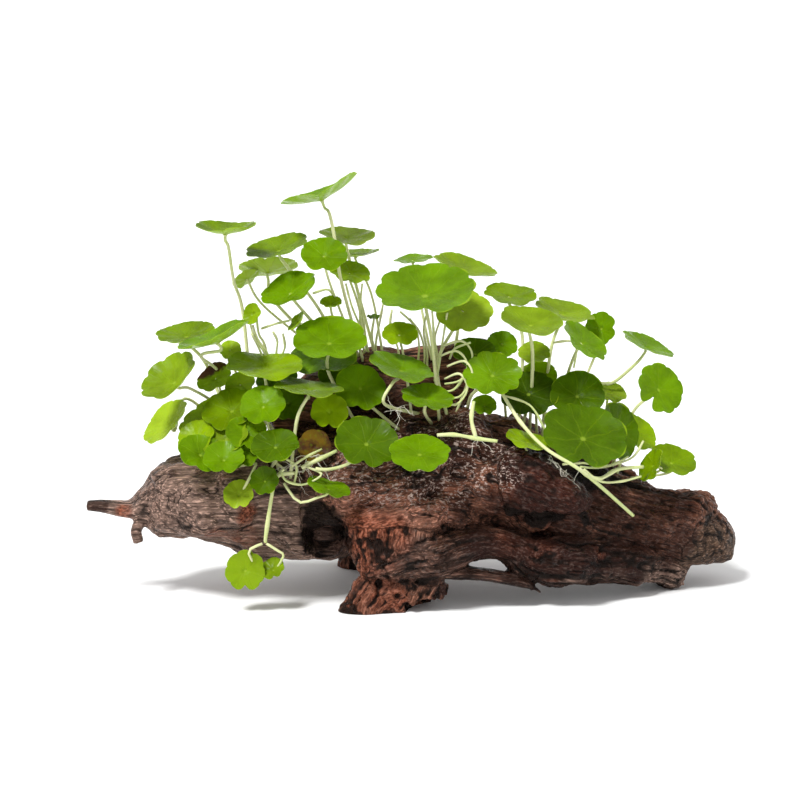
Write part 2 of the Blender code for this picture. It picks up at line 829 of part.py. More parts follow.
def drop_onto(trees, x, y):
    """The highest place of the wood over or under a point of the ground, in millimetres."""
    top = Vector((x, y, ABOVE_ALL)) * MM
    hits = [tree.ray_cast(top, Vector((0, 0, -1)))[0] for tree in trees]
    heights = [hit.z / MM for hit in hits if hit]
    return Vector((x, y, max(heights)))


def foot_place(leaf, trees):
    """Where a leaf's stalk starts, in millimetres."""
    if isinstance(leaf.foot[0], str):
        x, y = CROWNS[leaf.foot[0]]
        number = leaf.foot[1]
        row = FOOT_ROW if number % 2 else -FOOT_ROW
        place = drop_onto(trees, x + FOOT_SPACING * number, y + row)
        return place - Vector((0, 0, FOOT_SINK))
    return seen(*leaf.foot)


def build_leaf(name, leaf, trees, envelopes, parts, cutters):
    made = new_object(name, blade_mesh(leaf), parts)
    thick = made.modifiers.new("thickness", "SOLIDIFY")
    thick.thickness = BLADE_THICKNESS * MM
    thick.offset = 0.0
    baked(made)
    radius = STALK_RADIUS if leaf.width >= SMALL_BLADE else SMALL_STALK_RADIUS
    route = stalk_route(leaf, foot_place(leaf, trees))
    stalk = tube("cutter_stalk_" + name, route, radius, cutters)
    boolean(made, stalk, "UNION")
    for envelope in envelopes:
        if boxes_meet(made, envelope) or boxes_meet(stalk, envelope):
            boolean(made, envelope, "DIFFERENCE")
    baked(made)
    give_material(made, leaf.tone, LEAF_ROUGHNESS)
    bpy.data.objects.remove(stalk, do_unlink=True)


def build_runner(name, routes, envelopes, parts, cutters):
    """One runner: rods along its routes, joined."""
    rods = []
    for k, corners in enumerate(routes):
        places = smooth([seen(*corner) for corner in corners], 2 * len(corners) - 2)
        rods.append(tube(f"cutter_rod_{name}_{k}", places, RUNNER_RADIUS, cutters))
    made = new_object(name, rods[0].data.copy(), parts)
    for rod in rods[1:]:
        boolean(made, rod, "UNION")
    for envelope in envelopes:
        if boxes_meet(made, envelope):
            boolean(made, envelope, "DIFFERENCE")
    baked(made)
    give_material(made, STEM_CREAM, LEAF_ROUGHNESS)
    for rod in rods:
        bpy.data.objects.remove(rod, do_unlink=True)


def main():
    for old in list(bpy.data.objects):
        bpy.data.objects.remove(old, do_unlink=True)
    parts = bpy.data.collections.new(OBJECT_NAME)
    cutters = bpy.data.collections.new("cutters")
    bpy.context.scene.collection.children.link(parts)
    bpy.context.scene.collection.children.link(cutters)
    envelopes = build_wood(parts, cutters)
    trees = wood_trees(parts)
    for name, leaf in LEAVES.items():
        build_leaf(name, leaf, trees, envelopes, parts, cutters)
    for name, routes in RUNNERS.items():
        build_runner(name, routes, envelopes, parts, cutters)
    for cutter in cutters.objects:
        cutter.hide_render = True
        cutter.display_type = "WIRE"
    for part in parts.objects:
        part.data.shade_smooth()
        part.data.set_sharp_from_angle(angle=SHARP_ANGLE)


main()
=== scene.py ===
"""The looks of a pennywort growing on driftwood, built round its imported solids.

Places are given as seen from the front, in millimetres: ACROSS to the right and UP from the middle
of the front foot, both measured square to the line of sight, and BACK, the true distance behind the
front foot. seen() turns them into places in space. +X is right, +Y is away and +Z is up.
"""

import itertools
import math
import random
from typing import NamedTuple

import bmesh
import bpy
import numpy as np
from bpy.props import FloatProperty, FloatVectorProperty, PointerProperty
from mathutils import Matrix, Vector, noise
from mathutils.bvhtree import BVHTree


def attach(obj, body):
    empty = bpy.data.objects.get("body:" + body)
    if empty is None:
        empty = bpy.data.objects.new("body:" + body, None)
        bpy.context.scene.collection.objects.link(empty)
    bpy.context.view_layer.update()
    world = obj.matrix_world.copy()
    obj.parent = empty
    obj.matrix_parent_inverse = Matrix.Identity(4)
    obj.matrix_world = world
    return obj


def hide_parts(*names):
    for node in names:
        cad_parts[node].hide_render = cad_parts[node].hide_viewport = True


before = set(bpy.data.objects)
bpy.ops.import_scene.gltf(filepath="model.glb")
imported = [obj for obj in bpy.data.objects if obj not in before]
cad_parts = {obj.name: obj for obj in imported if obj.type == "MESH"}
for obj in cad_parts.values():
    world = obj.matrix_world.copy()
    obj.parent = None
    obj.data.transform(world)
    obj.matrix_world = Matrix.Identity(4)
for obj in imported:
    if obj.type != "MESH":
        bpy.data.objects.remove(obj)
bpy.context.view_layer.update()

bl_info = {
    "name": "Pennywort on driftwood",
    "version": (1, 0, 0),
    "blender": (4, 5, 0),
    "location": "View3D > Sidebar > Pennywort",
    "description": "Builds a creeping pennywort growing on a piece of driftwood",
    "category": "Add Mesh",
}

MM = 0.001
FLOOR_REACH = 40.0  # metres
FLOOR_SIDES = 64
FLOOR_MOTTLE = 0.985  # of the floor's brightness, in its darker patches
RIM_HEIGHT = 12.0  # metres, of the wall round the floor
KEY_PLACE = (-0.45, -0.55, 1.0)  # metres

# The line of sight along which the front view was measured
SIGHT_ELEVATION = math.radians(10.0)
SIGHT_DISTANCE = 889.0
SIGHT_ACROSS = 1.2
SIGHT_UP = 83.2
CAMERA_LENS = 100.5
CAMERA_SHIFT = 0.00125  # of the picture's width, by which the view is raised
CAMERA_SENSOR = 36.0

# Driftwood, in millimetres
RING_SPACING = 3.0
WOOD_SIDES = 40
SKIN_EASING = 3  # rounds in which the skin's cells are smoothed
SECTION_POWER = 2.4  # of the limbs' squarish round sections
LUMP_SIZE = 20.0  # width of the swellings along a limb
KNOB_SIZE = 8.0  # width of the smaller knobs on them
KNOB_SHARE = 0.5  # of the swellings' height
THINNEST = 0.4  # half size of a splinter's tip
RIGHT_FORK_X = 84.0  # the right limb parts from the trunk here
FLOOR_FADE = 2.5  # height over which the grain grows from nothing above the floor
FORK_BLEND = 7.0  # how sharply one limb's grain gives way to the next
FOOT_TOP = (32.0, 40.0)  # heights between which the foot's upright grain gives way to the trunk's
FOOT_YIELD = 1.2  # how much farther off the foot then counts
END_REACH = 12.0  # how far past its end a limb still counts as near
BROKEN_EASE = 0.7  # share of the carving that the worn broken end lacks
BROKEN_LIGHT = 0.1  # by which that end lies more open to the light
PLANK_LIGHT = 0.4  # the same for the smooth plank in front
SWAY = 0.7  # by which the fibres wander to the side
SWAY_SIZE = 15.0  # length over which they do
STREAK_GAIN = 2.8  # a light fibre over the wood round it
FULL_GRAIN = 8.0  # half thickness from which a limb's grain is carved to its full depth
PATCH_EDGE = (0.55, 1.25)  # of a patch's radius, between which it fades out
PATCH_FRAY = 0.35  # how uneven a patch is
FRAY_SIZE = 6.0  # width of that unevenness
PATCH_SEED = 71  # of the first patch, the others follow

# Pennywort, in millimetres
STALK_RADIUS = 0.9
SMALL_STALK_RADIUS = 0.7
STALK_LEAD = 0.25  # of a blade's width, for which the stalk runs square to the blade
ROUTED_LEAD = 0.10  # the same, for a stalk that passes given places
FOOT_SPACING = 1.6  # between the stalks that rise from one crown, along its two rows
FOOT_ROW = 2.2  # from a crown's middle to each of its rows
FOOT_DEPTH = 1.2  # of a stalk's end in the wood
SMALL_BLADE = 20.0  # blades narrower than this have thinner stalks
MIDDLE_SHARE = 0.6  # of a blade's cup, below the middle of its outline
LOBE_COUNTS = (7, 8, 8, 9, 10)
SMALL_LOBE_COUNTS = (6, 7, 7, 8)
LOBE_POWER = 0.6  # the lower, the rounder the lobes and the sharper the dips
TOOTH_DEPTH = 0.012  # of the small scallops on the lobes, of the radius
TOOTH_POWER = 0.8
NOTCH_DEPTHS = (0.08, 0.14, 0.22)  # of the radius
NOTCH_WIDTH = 0.42  # of a lobe
DIMPLE_WIDTH = 0.13  # of the radius
RIM_QUILTING = 1.6  # of the settings' quilting
RIM_THINNING = 0.65  # share of a blade's thickness that its rim lacks
UNDER_GAIN = 2.2  # a blade's underside over its face
TURN = 6.28  # radians, for phases by chance
BLADE_SIDES = 96
BLADE_RINGS = (0.05, 0.11, 0.2, 0.3, 0.4, 0.5, 0.6, 0.7, 0.79, 0.87, 0.93, 0.97, 0.99, 1.0)
TUBE_SIDES = 10
STALK_STEP = 2.0  # between the points along a stalk
STALK_TAPER = (0.86, 0.16)  # a stalk's thickness at its blade, and what it gains down to its foot
JOINT_FLARE = (0.5, 0.05)  # gain at the joint with the blade, and the share of the stalk that it takes
STEM_WAVER = 0.05  # by which a stem's thickness comes and goes
KNOT_SWELL = (0.28, 1.3)  # gain at a runner's knots, and their length in points along it
RUNNER_TAPER = 0.92  # a runner's thickness between its knots
RUNNER_RADIUS = 1.0
ROOTING_GAP = 3.5  # a stem's end closer than this to the wood is led into it
ROOT_STEP = 1.1
ROOT_STRETCH = 0.6  # between the points of a finished root
ROOT_CLING = 4.0  # a root closer than this to the wood bends to it
ROOT_PULL = 0.7  # how much of the way to the wood it bends
ROOT_LIFT = 0.25  # from the wood to a root that clings to it
ROOT_TAPER = 0.6  # share of its thickness that a root's tip lacks
ABOVE_ALL = 200.0  # a height over the whole plant


def sight_axes():
    """The direction of the line of sight and the upward direction square to it."""
    along = Vector((0.0, math.cos(SIGHT_ELEVATION), -math.sin(SIGHT_ELEVATION)))
    upward = Vector((0.0, math.sin(SIGHT_ELEVATION), math.cos(SIGHT_ELEVATION)))
    return along, upward


def eye_point():
    """Where the front view was seen from, in millimetres."""
    along, upward = sight_axes()
    return Vector((SIGHT_ACROSS, 0.0, 0.0)) + upward * SIGHT_UP - along * SIGHT_DISTANCE


def sight_scale(up, back):
    """How much larger than in the front view a thing at this distance really is."""
    _, upward = sight_axes()
    eye = eye_point()
    return (back - eye.y) / (upward.y * up - eye.y)


def seen(across, up, back):
    """The place in space, in millimetres, of a point seen from the front."""
    _, upward = sight_axes()
    on_plane = Vector((across, 0.0, 0.0)) + upward * up
    eye = eye_point()
    return eye + (on_plane - eye) * sight_scale(up, back)


class Grain(NamedTuple):
    """How a limb's surface is broken up: heights in millimetres."""

    furrow: float
    rib: float
    ledge: float
    crag: float
    crumb: float
    pit: float


LONG_GRAIN = Grain(0.36, 0.4, 0.2, 0.15, 0.15, 0.0)
WET_GRAIN = Grain(0.4, 0.4, 0.4, 0.7, 0.6, 0.3)
RIBBED_GRAIN = Grain(0.8, 1.1, 0.5, 0.25, 0.2, 0.0)
CRUMBLY_GRAIN = Grain(0.5, 0.6, 0.7, 1.0, 0.9, 0.8)
FUZZY_GRAIN = Grain(0.1, 0.1, 0.2, 0.6, 0.9, 0.3)


class Limb(NamedTuple):
    """A length of driftwood: stations of (across, up, back, half height, half depth)."""

    stations: tuple
    lump: float  # height of the swellings, as a part of the half size
    seed: float
    grain: Grain
    hidden: bool = False  # its stations are then true places (x, z, y, half height, half depth)


# The limbs that the driftwood grows together from
LIMBS = {
    "wood_trunk": Limb((
        (-47, 55, 34, 10, 16), (-40, 54, 35, 17, 25), (-26, 53, 36, 19, 31), (-10, 54, 37, 21, 34),
        (6, 57, 38, 23, 35), (22, 57, 38, 23, 35), (38, 54, 38, 22, 33), (54, 50, 38, 20, 31),
        (70, 46, 39, 18, 28), (86, 41, 41, 16.5, 25), (101, 36.5, 43, 14.5, 22),
        (112, 33.9, 44, 14.6, 20.5), (119, 30.2, 44, 12.2, 18), (125, 27.4, 44, 9.6, 15),
        (130, 24.6, 43, 6.8, 11.5), (132.4, 22.6, 42, 4.2, 6.5), (133.4, 22.4, 42, 2.2, 4)),
        0.32, 3.0, WET_GRAIN),
    "wood_low_limb": Limb((
        (-12.5, 13.4, -4, 1.2, 3), (-7, 16.4, -3, 4.2, 6), (-1, 18.6, -2, 7.2, 8), (6, 21, -1, 9.4, 10),
        (14, 22.4, 1, 9.8, 12), (24, 25.6, 5, 7.4, 13), (32, 27.6, 8, 6, 13), (39, 27.8, 10, 5.3, 12),
        (46, 25.8, 12, 6.9, 13), (52.5, 22.4, 14, 9.2, 16), (66, 21.8, 17, 9.8, 17.5),
        (82, 21.4, 24, 10, 16.5), (88.5, 21.2, 28, 9.4, 15.2), (95, 20.8, 32, 8.2, 13.5),
        (104.4, 19.4, 37, 8, 11.5), (109.8, 17.8, 39, 8.6, 10), (112.8, 16.8, 40, 6.8, 8)),
        0.28, 17.0, RIBBED_GRAIN),
    "wood_front_foot": Limb((
        (1, 44, 10, 24, 13), (2, 36, 10, 24, 16), (1, 26, 9, 21.5, 17), (1, 17, 8, 17.2, 15),
        (1.6, 11, 7, 15.2, 13), (-3.4, 7.4, 6, 15, 12.5), (-8.6, 3.6, 4, 10.8, 11.5),
        (-11.4, -6, 3, 14.4, 10.5)), 0.30, 11.0, CRUMBLY_GRAIN),
    "wood_left_limb": Limb((
        (-123.4, 41.6, 22, 2.1, 2.0), (-118.0, 41.4, 22, 2.4, 3.0), (-111.0, 40.4, 23, 3.0, 4.5),
        (-105.5, 39.8, 24, 3.4, 8), (-100.5, 40.4, 25, 7.8, 12), (-96.5, 40.4, 26, 11.8, 17),
        (-90, 42.6, 27, 14.2, 21), (-79, 45.8, 28, 16.2, 25), (-63, 45.2, 29, 18.8, 28),
        (-49, 42.6, 31, 21.6, 28), (-36, 42.6, 33, 21.2, 28), (-22, 41, 44, 18, 20)),
        0.24, 5.0, LONG_GRAIN),
    "wood_upper_branch": Limb((
        (-50, 72, 46, 7, 9), (-36, 78, 50, 14, 12), (-20, 80, 54, 19, 14), (-6, 83, 56, 20, 14),
        (8, 88, 56, 18, 12), (19, 95, 55, 13, 9), (27, 103, 53, 6, 6.5), (34, 104.5, 51, 3.6, 5),
        (39, 102, 50, 2.4, 3)), 0.30, 23.0, LONG_GRAIN),
    "wood_rear_foot": Limb((
        (-8, 42, 60, 18, 12), (-10, 26, 66, 15, 11), (-12, 12, 71, 13, 10), (-13, 3, 73, 13, 10),
        (-13, -6, 74, 12, 9)), 0.22, 29.0, CRUMBLY_GRAIN, True),
    "wood_splinter": Limb((
        (15, 16.2, 0, 3.4, 5), (24, 15.2, 2, 3.0, 5), (33, 14.4, 3, 2.6, 5), (41, 13.2, 4, 2.6, 5),
        (48, 11.8, 5, 2.6, 5), (52.5, 10.4, 6, 1.8, 4.5), (55, 8.6, 6, 0.7, 1.5),
        (57.4, 6.8, 6, 0.5, 0.8)), 0.10, 31.0, RIBBED_GRAIN),
}

# Swellings and splinters that grew from a limb: (the limb, their own stations)
OUTGROWTHS = {
    "toe": ("wood_front_foot", Limb((
        (0, 11, 8, 4.6, 8), (8, 10.8, 7, 4.4, 7.5), (14, 9.6, 6, 4.0, 6), (18.6, 8.4, 6, 3.4, 5),
        (20.4, 8, 6, 1.6, 2.5)), 0.20, 47.0, CRUMBLY_GRAIN)),
    "burl": ("wood_trunk", Limb((
        (41, 53, 10, 5, 4), (45, 53, 7, 13, 8), (52, 51, 5, 13.5, 12), (60, 48, 5, 10, 12),
        (68, 45.5, 6, 7, 10), (76, 43.5, 9, 3, 5)), 0.20, 37.0, FUZZY_GRAIN)),
    "hook": ("wood_left_limb", Limb((
        (-99, 38, 20, 2.6, 3), (-102.5, 35, 19, 2.4, 2.6), (-104, 31, 18, 2.3, 2.2),
        (-102.8, 26.8, 18, 2.1, 2.0)), 0.05, 41.0, LONG_GRAIN)),
}

# Bites that broke out of a limb: (the limb, their own stations)
HOLLOWS = {
    "upper_hollow": ("wood_trunk", Limb((
        (50, 62, 2, 2, 6), (58, 60.5, 5, 5, 17), (66, 58.5, 8, 6.5, 20), (76, 57, 11, 6, 19),
        (84, 55, 15, 3.5, 9)), 0.20, 53.0, CRUMBLY_GRAIN)),
    "foot_hollow": ("wood_front_foot", Limb((
        (4, -1, -10, 1, 2), (9, 0.5, -4, 3.4, 8), (15, 1, 0, 4.2, 12), (24, 1.5, 1, 4.6, 13)),
        0.10, 59.0, CRUMBLY_GRAIN)),
    "front_hollow": ("wood_left_limb", Limb((
        (-28, 45, -8, 8, 12), (-30, 38, -2, 9.5, 19), (-30, 28, -2, 9.5, 19), (-30, 19, -6, 8.5, 14)),
        0.20, 43.0, CRUMBLY_GRAIN)),
}


class Leaf(NamedTuple):
    """One leaf: a lobed saucer on its own stalk."""

    at: tuple  # middle of the blade as seen from the front (across, up, back)
    width: float  # as seen from the front
    lean: float  # degrees by which the blade faces the front, 0 where it lies level
    roll: float  # degrees by which its right side is raised
    cup: float  # height of the rim over the middle
    foot: tuple  # (crown, number in it), or a place seen from the front
    route: tuple = ()  # places that the stalk passes, seen from the front
    spin: float = 0.0  # degrees by which the blade is turned on its stalk
    notch: float = 0.0  # depth of the notch, as a part of the radius
    fold: float = 0.0  # height by which two opposite sides are folded up
    # the blade's green, partly its own and partly painted light and shade: brighter tones such as sunlit and
    # lime lighten blades that lie in shade, and dark and deep darken blades in the plant's shade
    tone: str = "fresh"


# Where stalks rise from the wood: (x, y), true distances from the front foot
CROWNS = {
    "left": (-58, 38),
    "front_left": (-52, 10),
    "upper": (-14, 50),
    "branch": (24, 52),
    "middle": (14, 30),
    "right": (56, 38),
    "far_right": (84, 44),
}

# Leaves that have solids of their own
LEAVES = {
    "leaf_tall_left": Leaf((-68.4, 152.2, 30), 24, 3, 0, 3.5, ("left", 0),
        ((-67, 144, 31), (-65, 131, 34), (-61, 116, 39)), tone="olive"),
    "leaf_top": Leaf((-31, 166.2, 44), 33, -4, 20, 4.5, ("upper", 0),
        ((-27, 158, 40), (-25, 149, 38), (-22, 130, 40))),
    "leaf_upper_olive": Leaf((-47.5, 144.5, 42), 25.6, 14, 13, 2.5, ("upper", -4),
        ((-42.5, 135, 42), (-30, 118, 46)), tone="olive"),
    "leaf_upper_pale": Leaf((-51.5, 136, 56), 24, -25, 4, 2.5, ("upper", -6),
        ((-48, 122, 56),), tone="pale"),
    "leaf_crown_round": Leaf((-29, 141.5, 26), 19.2, 39, -4, 1.5, ("upper", -1), ((-26, 128, 34),)),
    "leaf_crown_folded": Leaf((-20, 148.6, 54), 22.8, 12, -4, 1.2, ("upper", 3),
        ((-17, 132, 63.5),), fold=1.0, tone="sunlit"),
    "leaf_crown_edge": Leaf((-16.5, 142, 74), 19, 2, 5, 1.5, ("upper", 5),
        ((-10, 125, 66),), tone="olive"),
    "leaf_crown_dark": Leaf((-18.5, 134.5, 51), 17, 24, -12, 1.0, ("upper", 1),
        ((-15, 120, 52),), tone="lime"),
    "leaf_upper_left": Leaf((-43, 127.5, 28), 24, 22, 20, 2.5, ("upper", -2), ((-33, 114, 38),)),
    "leaf_left_olive": Leaf((-84, 110, 45), 24, 13, 4, 2.0, ("left", -4), ((-75, 96, 44),), tone="olive"),
    "leaf_left_long": Leaf((-72.5, 109, 16), 30.5, 0, 21, 4.0, ("left", -2),
        ((-78, 101, 20), (-69, 92, 32))),
    "leaf_left_bowl": Leaf((-90.4, 92.6, 14), 26, 26, 33, 5.0, ("left", -6),
        ((-82, 88, 22), (-71, 80, 34)), tone="pale"),
    "leaf_left_pale": Leaf((-91.5, 74.8, 26), 23, 20, 42, 3.0, ("left", -8),
        ((-85, 84, 34), (-76, 78, 40)), tone="sunlit"),
    "leaf_long_olive": Leaf((-52.5, 97.5, 20), 31, 12, -2, 1.5, ("left", 2),
        ((-52, 86, 22),), tone="lime"),
    "leaf_big_dark": Leaf((-27, 107.5, 16), 30.4, 26, 0, 2.5, ("middle", -18), ((-27, 94, 27),)),
    "leaf_lime_edge": Leaf((-35, 88.5, 8), 28, 4, -5, 1.2, ("front_left", 6),
        ((-36, 84, 4), (-40, 75, 5)), tone="olive"),
    "leaf_glossy": Leaf((-53.5, 81.5, 4), 19, 45, 10, 2.0, ("front_left", 3)),
    "leaf_wide_pale": Leaf((-72.5, 74, 16), 29, 30, 8, 2.0, ("front_left", -3), tone="sunlit"),
    "leaf_low_left": Leaf((-78, 62.5, -3), 19, 38, -20, 2.0, ("front_left", -5), ((-70, 58, 4),)),
    "leaf_low_left_bright": Leaf((-69, 60.5, -9), 17, 38, 0, 2.0, ("front_left", -1)),
    "leaf_low_bright": Leaf((-48.5, 65.5, -9), 20, 31, 5, 1.5, ("front_left", 1), tone="dark"),
    "leaf_folded_on_wood": Leaf((-63, 46, -5), 12.5, 55, 10, 0.5, (-56, 58, -3),
        ((-59, 52, -5),), fold=1.5, tone="sunlit"),
    "leaf_on_wood": Leaf((-27, 48.8, -8), 18, 10, -17, 1.0, (-45, 50.5, -6),
        ((-31, 45, -8), (-39, 43, -8))),
    "leaf_hanging": Leaf((-60.4, 15.6, -4), 16.4, 72, 0, 1.0, (-53.6, 26.4, -3),
        ((-57, 17.5, -2), (-59, 23.5, -3)), tone="pale"),
    "leaf_middle_dark": Leaf((-14.5, 88.5, 20), 21, 50, -10, 1.0, ("middle", -8)),
    "leaf_middle_left": Leaf((-27, 79, 8), 15.5, 52, 0, 1.0, ("middle", -14), tone="lime"),
    "leaf_front_large": Leaf((-12, 66.8, -7), 26, 42, -12, 2.0, (-32.4, 56.2, -7),
        ((-19, 58.4, -3), (-27, 56, -6)), tone="dark"),
    "leaf_front_oval": Leaf((9, 62.5, -14), 24.8, 25, 0, 1.0, (14, 66, 3)),
    "leaf_lime_below": Leaf((2, 96.5, 16), 27, 13, -15, 2.0, ("middle", -3), ((-2, 90, 8), (-5, 82, 7))),
    "leaf_middle_green": Leaf((12, 84.8, 8), 21.6, 18, -8, 1.5, ("middle", 0)),
    "leaf_small_round": Leaf((1, 110, 26), 14.4, 35, 0, 1.0, ("middle", -5), ((3, 99, 35),), tone="lime"),
    "leaf_biggest": Leaf((11, 127.3, 22), 40.4, 23, 3, 4.0, ("middle", 2), ((14, 106, 20),)),
    "leaf_olive_right": Leaf((26, 119.4, 36), 24, 40, -6, 1.5, ("middle", 4),
        ((16, 98, 32),), tone="sunlit"),
    "leaf_back_right": Leaf((27, 136.5, 58), 27, 8, -15, 3.0, ("branch", 0),
        ((25, 118, 57),), tone="pale"),
    "leaf_olive_oval": Leaf((45, 125.5, 44), 21.6, 16, -5, 1.5, ("right", -4),
        ((50, 108, 42),), tone="olive"),
    "leaf_right_crown": Leaf((53.5, 115, 20), 25, 20, -8, 3.0, ("right", -1),
        ((54, 100, 26),), tone="pale"),
    "leaf_right_grey": Leaf((66.5, 119, 46), 25, 13, -14, 2.5, ("right", 2),
        ((61, 102, 43),), tone="pale"),
    "leaf_right_lower": Leaf((74.5, 107, 24), 22, 20, -38, 2.0, ("right", 4), ((68, 94, 38),)),
    "leaf_right_upright": Leaf((81, 112, 46), 14, 55, 65, 1.0, ("right", 6), spin=30),
    "leaf_far_right_edge": Leaf((100, 105.5, 48), 23, 8, -23, 2.0, ("far_right", -6),
        ((95, 98, 48), (86, 90.5, 50), (77, 88, 50))),
    "leaf_far_right": Leaf((104.7, 87.9, 30), 21.6, 50, -45, 1.5, ("far_right", 3),
        ((99, 84, 33), (93, 77, 35)), notch=0.55),
    "leaf_right_dark": Leaf((71.8, 85.4, 26), 22.4, 50, 0, 1.0, ("right", 8), tone="dark"),
    "leaf_right_big": Leaf((74.5, 69.5, 6), 35, 37, -10, 3.0, ("right", 10),
        ((72, 66, 16),), tone="dark"),
    "leaf_right_behind": Leaf((87.8, 70.8, 24), 24, 42, -65, 2.0, ("far_right", -3),
        ((84, 68, 36),), tone="dark"),
    "leaf_right_lime": Leaf((96, 70.8, 50), 17.6, 30, -40, 1.5, ("far_right", 4), tone="lime"),
    "leaf_right_low": Leaf((109.6, 59.5, 18), 19.6, 28, -12, 2.0, ("far_right", 6), tone="olive"),
    "leaf_front_edge": Leaf((52, 67.5, 3), 18.4, 12, -15, 1.0, ("right", -9),
        ((51, 63, 8),), tone="lime"),
    "leaf_round_bright": Leaf((38, 94, 12), 24, 38, 0, 1.5, ("middle", 9), ((30, 86, 20),)),
}

# Runners that have solids of their own, each one or more lines of places
RUNNERS = {
    "runner_on_hump": (
        ((16, 69.6, 1), (23, 69.8, 0), (31, 68.4, 0), (40, 67.2, -1)),
        ((31.4, 68.6, 0), (29.6, 76, 2), (30.6, 83, 5)),
    ),
    "runner_cut": (
        ((42, 86, 12), (49, 75, 4), (59, 64.5, -7), (72, 56.4, -9), (81, 49.2, -2), (94, 37.6, 10)),
        ((72.4, 56.2, -9), (80, 52.2, -4), (88, 56, 2), (98, 57, 8)),
    ),
    "runner_hanging": (
        ((-40.5, 54.5, -4), (-47.6, 53.2, -6), (-49.6, 46.8, -6), (-52, 31, -4), (-52.4, 27, -3)),
    ),
    "runner_knot": (((-38, 56.6, -4), (-33.5, 58.8, -3), (-24, 63.4, 1)),),
}

# Leaves too small or too hidden for a solid of their own
SMALL_LEAVES = {
    "leaf_upper_small": Leaf((-60, 132, 52), 12, -30, 34, 0.6, ("upper", -7),
        ((-52, 120, 54),), tone="pale"),
    "leaf_dish": Leaf((-26.4, 122.4, 32), 9.2, 21, 0, 1.5, ("upper", -3), ((-25, 115, 36),), tone="lime"),
    "leaf_tiny": Leaf((-9.2, 116.8, 48), 5.6, 10, 0, 0.3, ("upper", 4), ((-10, 108, 48),), tone="dark"),
    "leaf_cupped": Leaf((-40, 114.8, 24), 9.6, 15, 50, 1.2, ("upper", -8),
        ((-38, 106, 32),), tone="lime"),
    "leaf_young": Leaf((-57.6, 118, 30), 9, 50, 66, 1.6, ("left", 5),
        ((-55, 110, 32), (-52, 103, 34)), tone="lime"),
    "leaf_browned": Leaf((-72.8, 92.4, 26), 15, 35, 25, 1.2, ("left", -5), tone="scorched"),
    "leaf_sheer": Leaf((-66.4, 103.6, 34), 9, 50, 0, 0.8, ("left", 1), ((-64, 94, 36),), tone="sunlit"),
    "leaf_under": Leaf((-30, 100.8, 36), 28, 22, 5, 1.0, ("upper", -10)),
    "leaf_shaded": Leaf((-43.2, 82.4, 26), 14, 70, 0, 0.8, ("left", 9), tone="dark"),
    "leaf_left_edge": Leaf((-68.4, 68.8, 2), 20, 34, 22, 1.6, ("front_left", -7), tone="pale"),
    "leaf_left_low": Leaf((-61.6, 62, -2), 15, 38, 10, 1.0, ("front_left", -2)),
    "leaf_withered": Leaf((-32.8, 65.2, 4), 13.6, 75, -5, 0.8, ("front_left", 9), tone="brown"),
    "leaf_ring": Leaf((-52.8, 51.6, -8), 12, 62, 8, 2.4, (-45, 56, -6), tone="dark"),
    "leaf_hanging_small": Leaf((-49.6, 16.4, -3), 10.4, 40, 20, 1.4, (-52, 26.5, -3),
        ((-45.2, 21.5, -3), (-47.5, 23.6, -3)), tone="pale"),
    "leaf_top_edge": Leaf((6.4, 139.6, 54), 16, 5, 5, 1.0, ("branch", -6)),
    "leaf_right_small": Leaf((84.8, 86.8, 50), 13.6, 25, -12, 1.0, ("far_right", 0), tone="sunlit"),
    "leaf_right_tip": Leaf((101.2, 57.6, 12), 14.4, 20, 60, 1.0, ("far_right", 8), tone="olive"),
    "leaf_deep": Leaf((31.2, 102.4, 28), 17.6, 35, 0, 1.0, ("middle", 6), tone="dark"),
    "leaf_deep_small": Leaf((34.8, 81.6, 16), 10.4, 40, 0, 0.8, ("middle", 11)),
    "leaf_deep_right": Leaf((42, 106, 40), 12.8, 45, -15, 0.8, ("right", -7)),
    "leaf_deep_wide": Leaf((52.4, 86.4, 28), 24, 40, 0, 1.2, ("right", -3), tone="deep"),
    "leaf_fringe": Leaf((-66, 80, 12), 24, 32, 12, 1.8, ("left", 3), tone="olive"),
    "leaf_fringe_low": Leaf((-80, 69, 6), 16, 40, 24, 1.6, ("front_left", -9), tone="lime"),
    "leaf_fringe_front": Leaf((-60, 70.5, 0), 17, 42, -8, 1.6, ("front_left", 5)),
    "leaf_gap_left": Leaf((-48, 92, 34), 17, 40, 10, 1.0, ("left", 11), tone="dark"),
    "leaf_gap_middle": Leaf((-22, 93, 36), 19, 42, -6, 1.0, ("upper", 7), tone="dark"),
    "leaf_gap_right": Leaf((56, 93, 40), 16, 40, 8, 1.0, ("right", 5), tone="lime"),
    "leaf_nook": Leaf((-62.4, 90, 24), 13, 38, 20, 1.0, ("left", 8), tone="sunlit"),
    "leaf_yellow": Leaf((54.4, 102.4, 36), 13.6, 30, 0, 1.0, ("right", 1), tone="sunlit"),
}

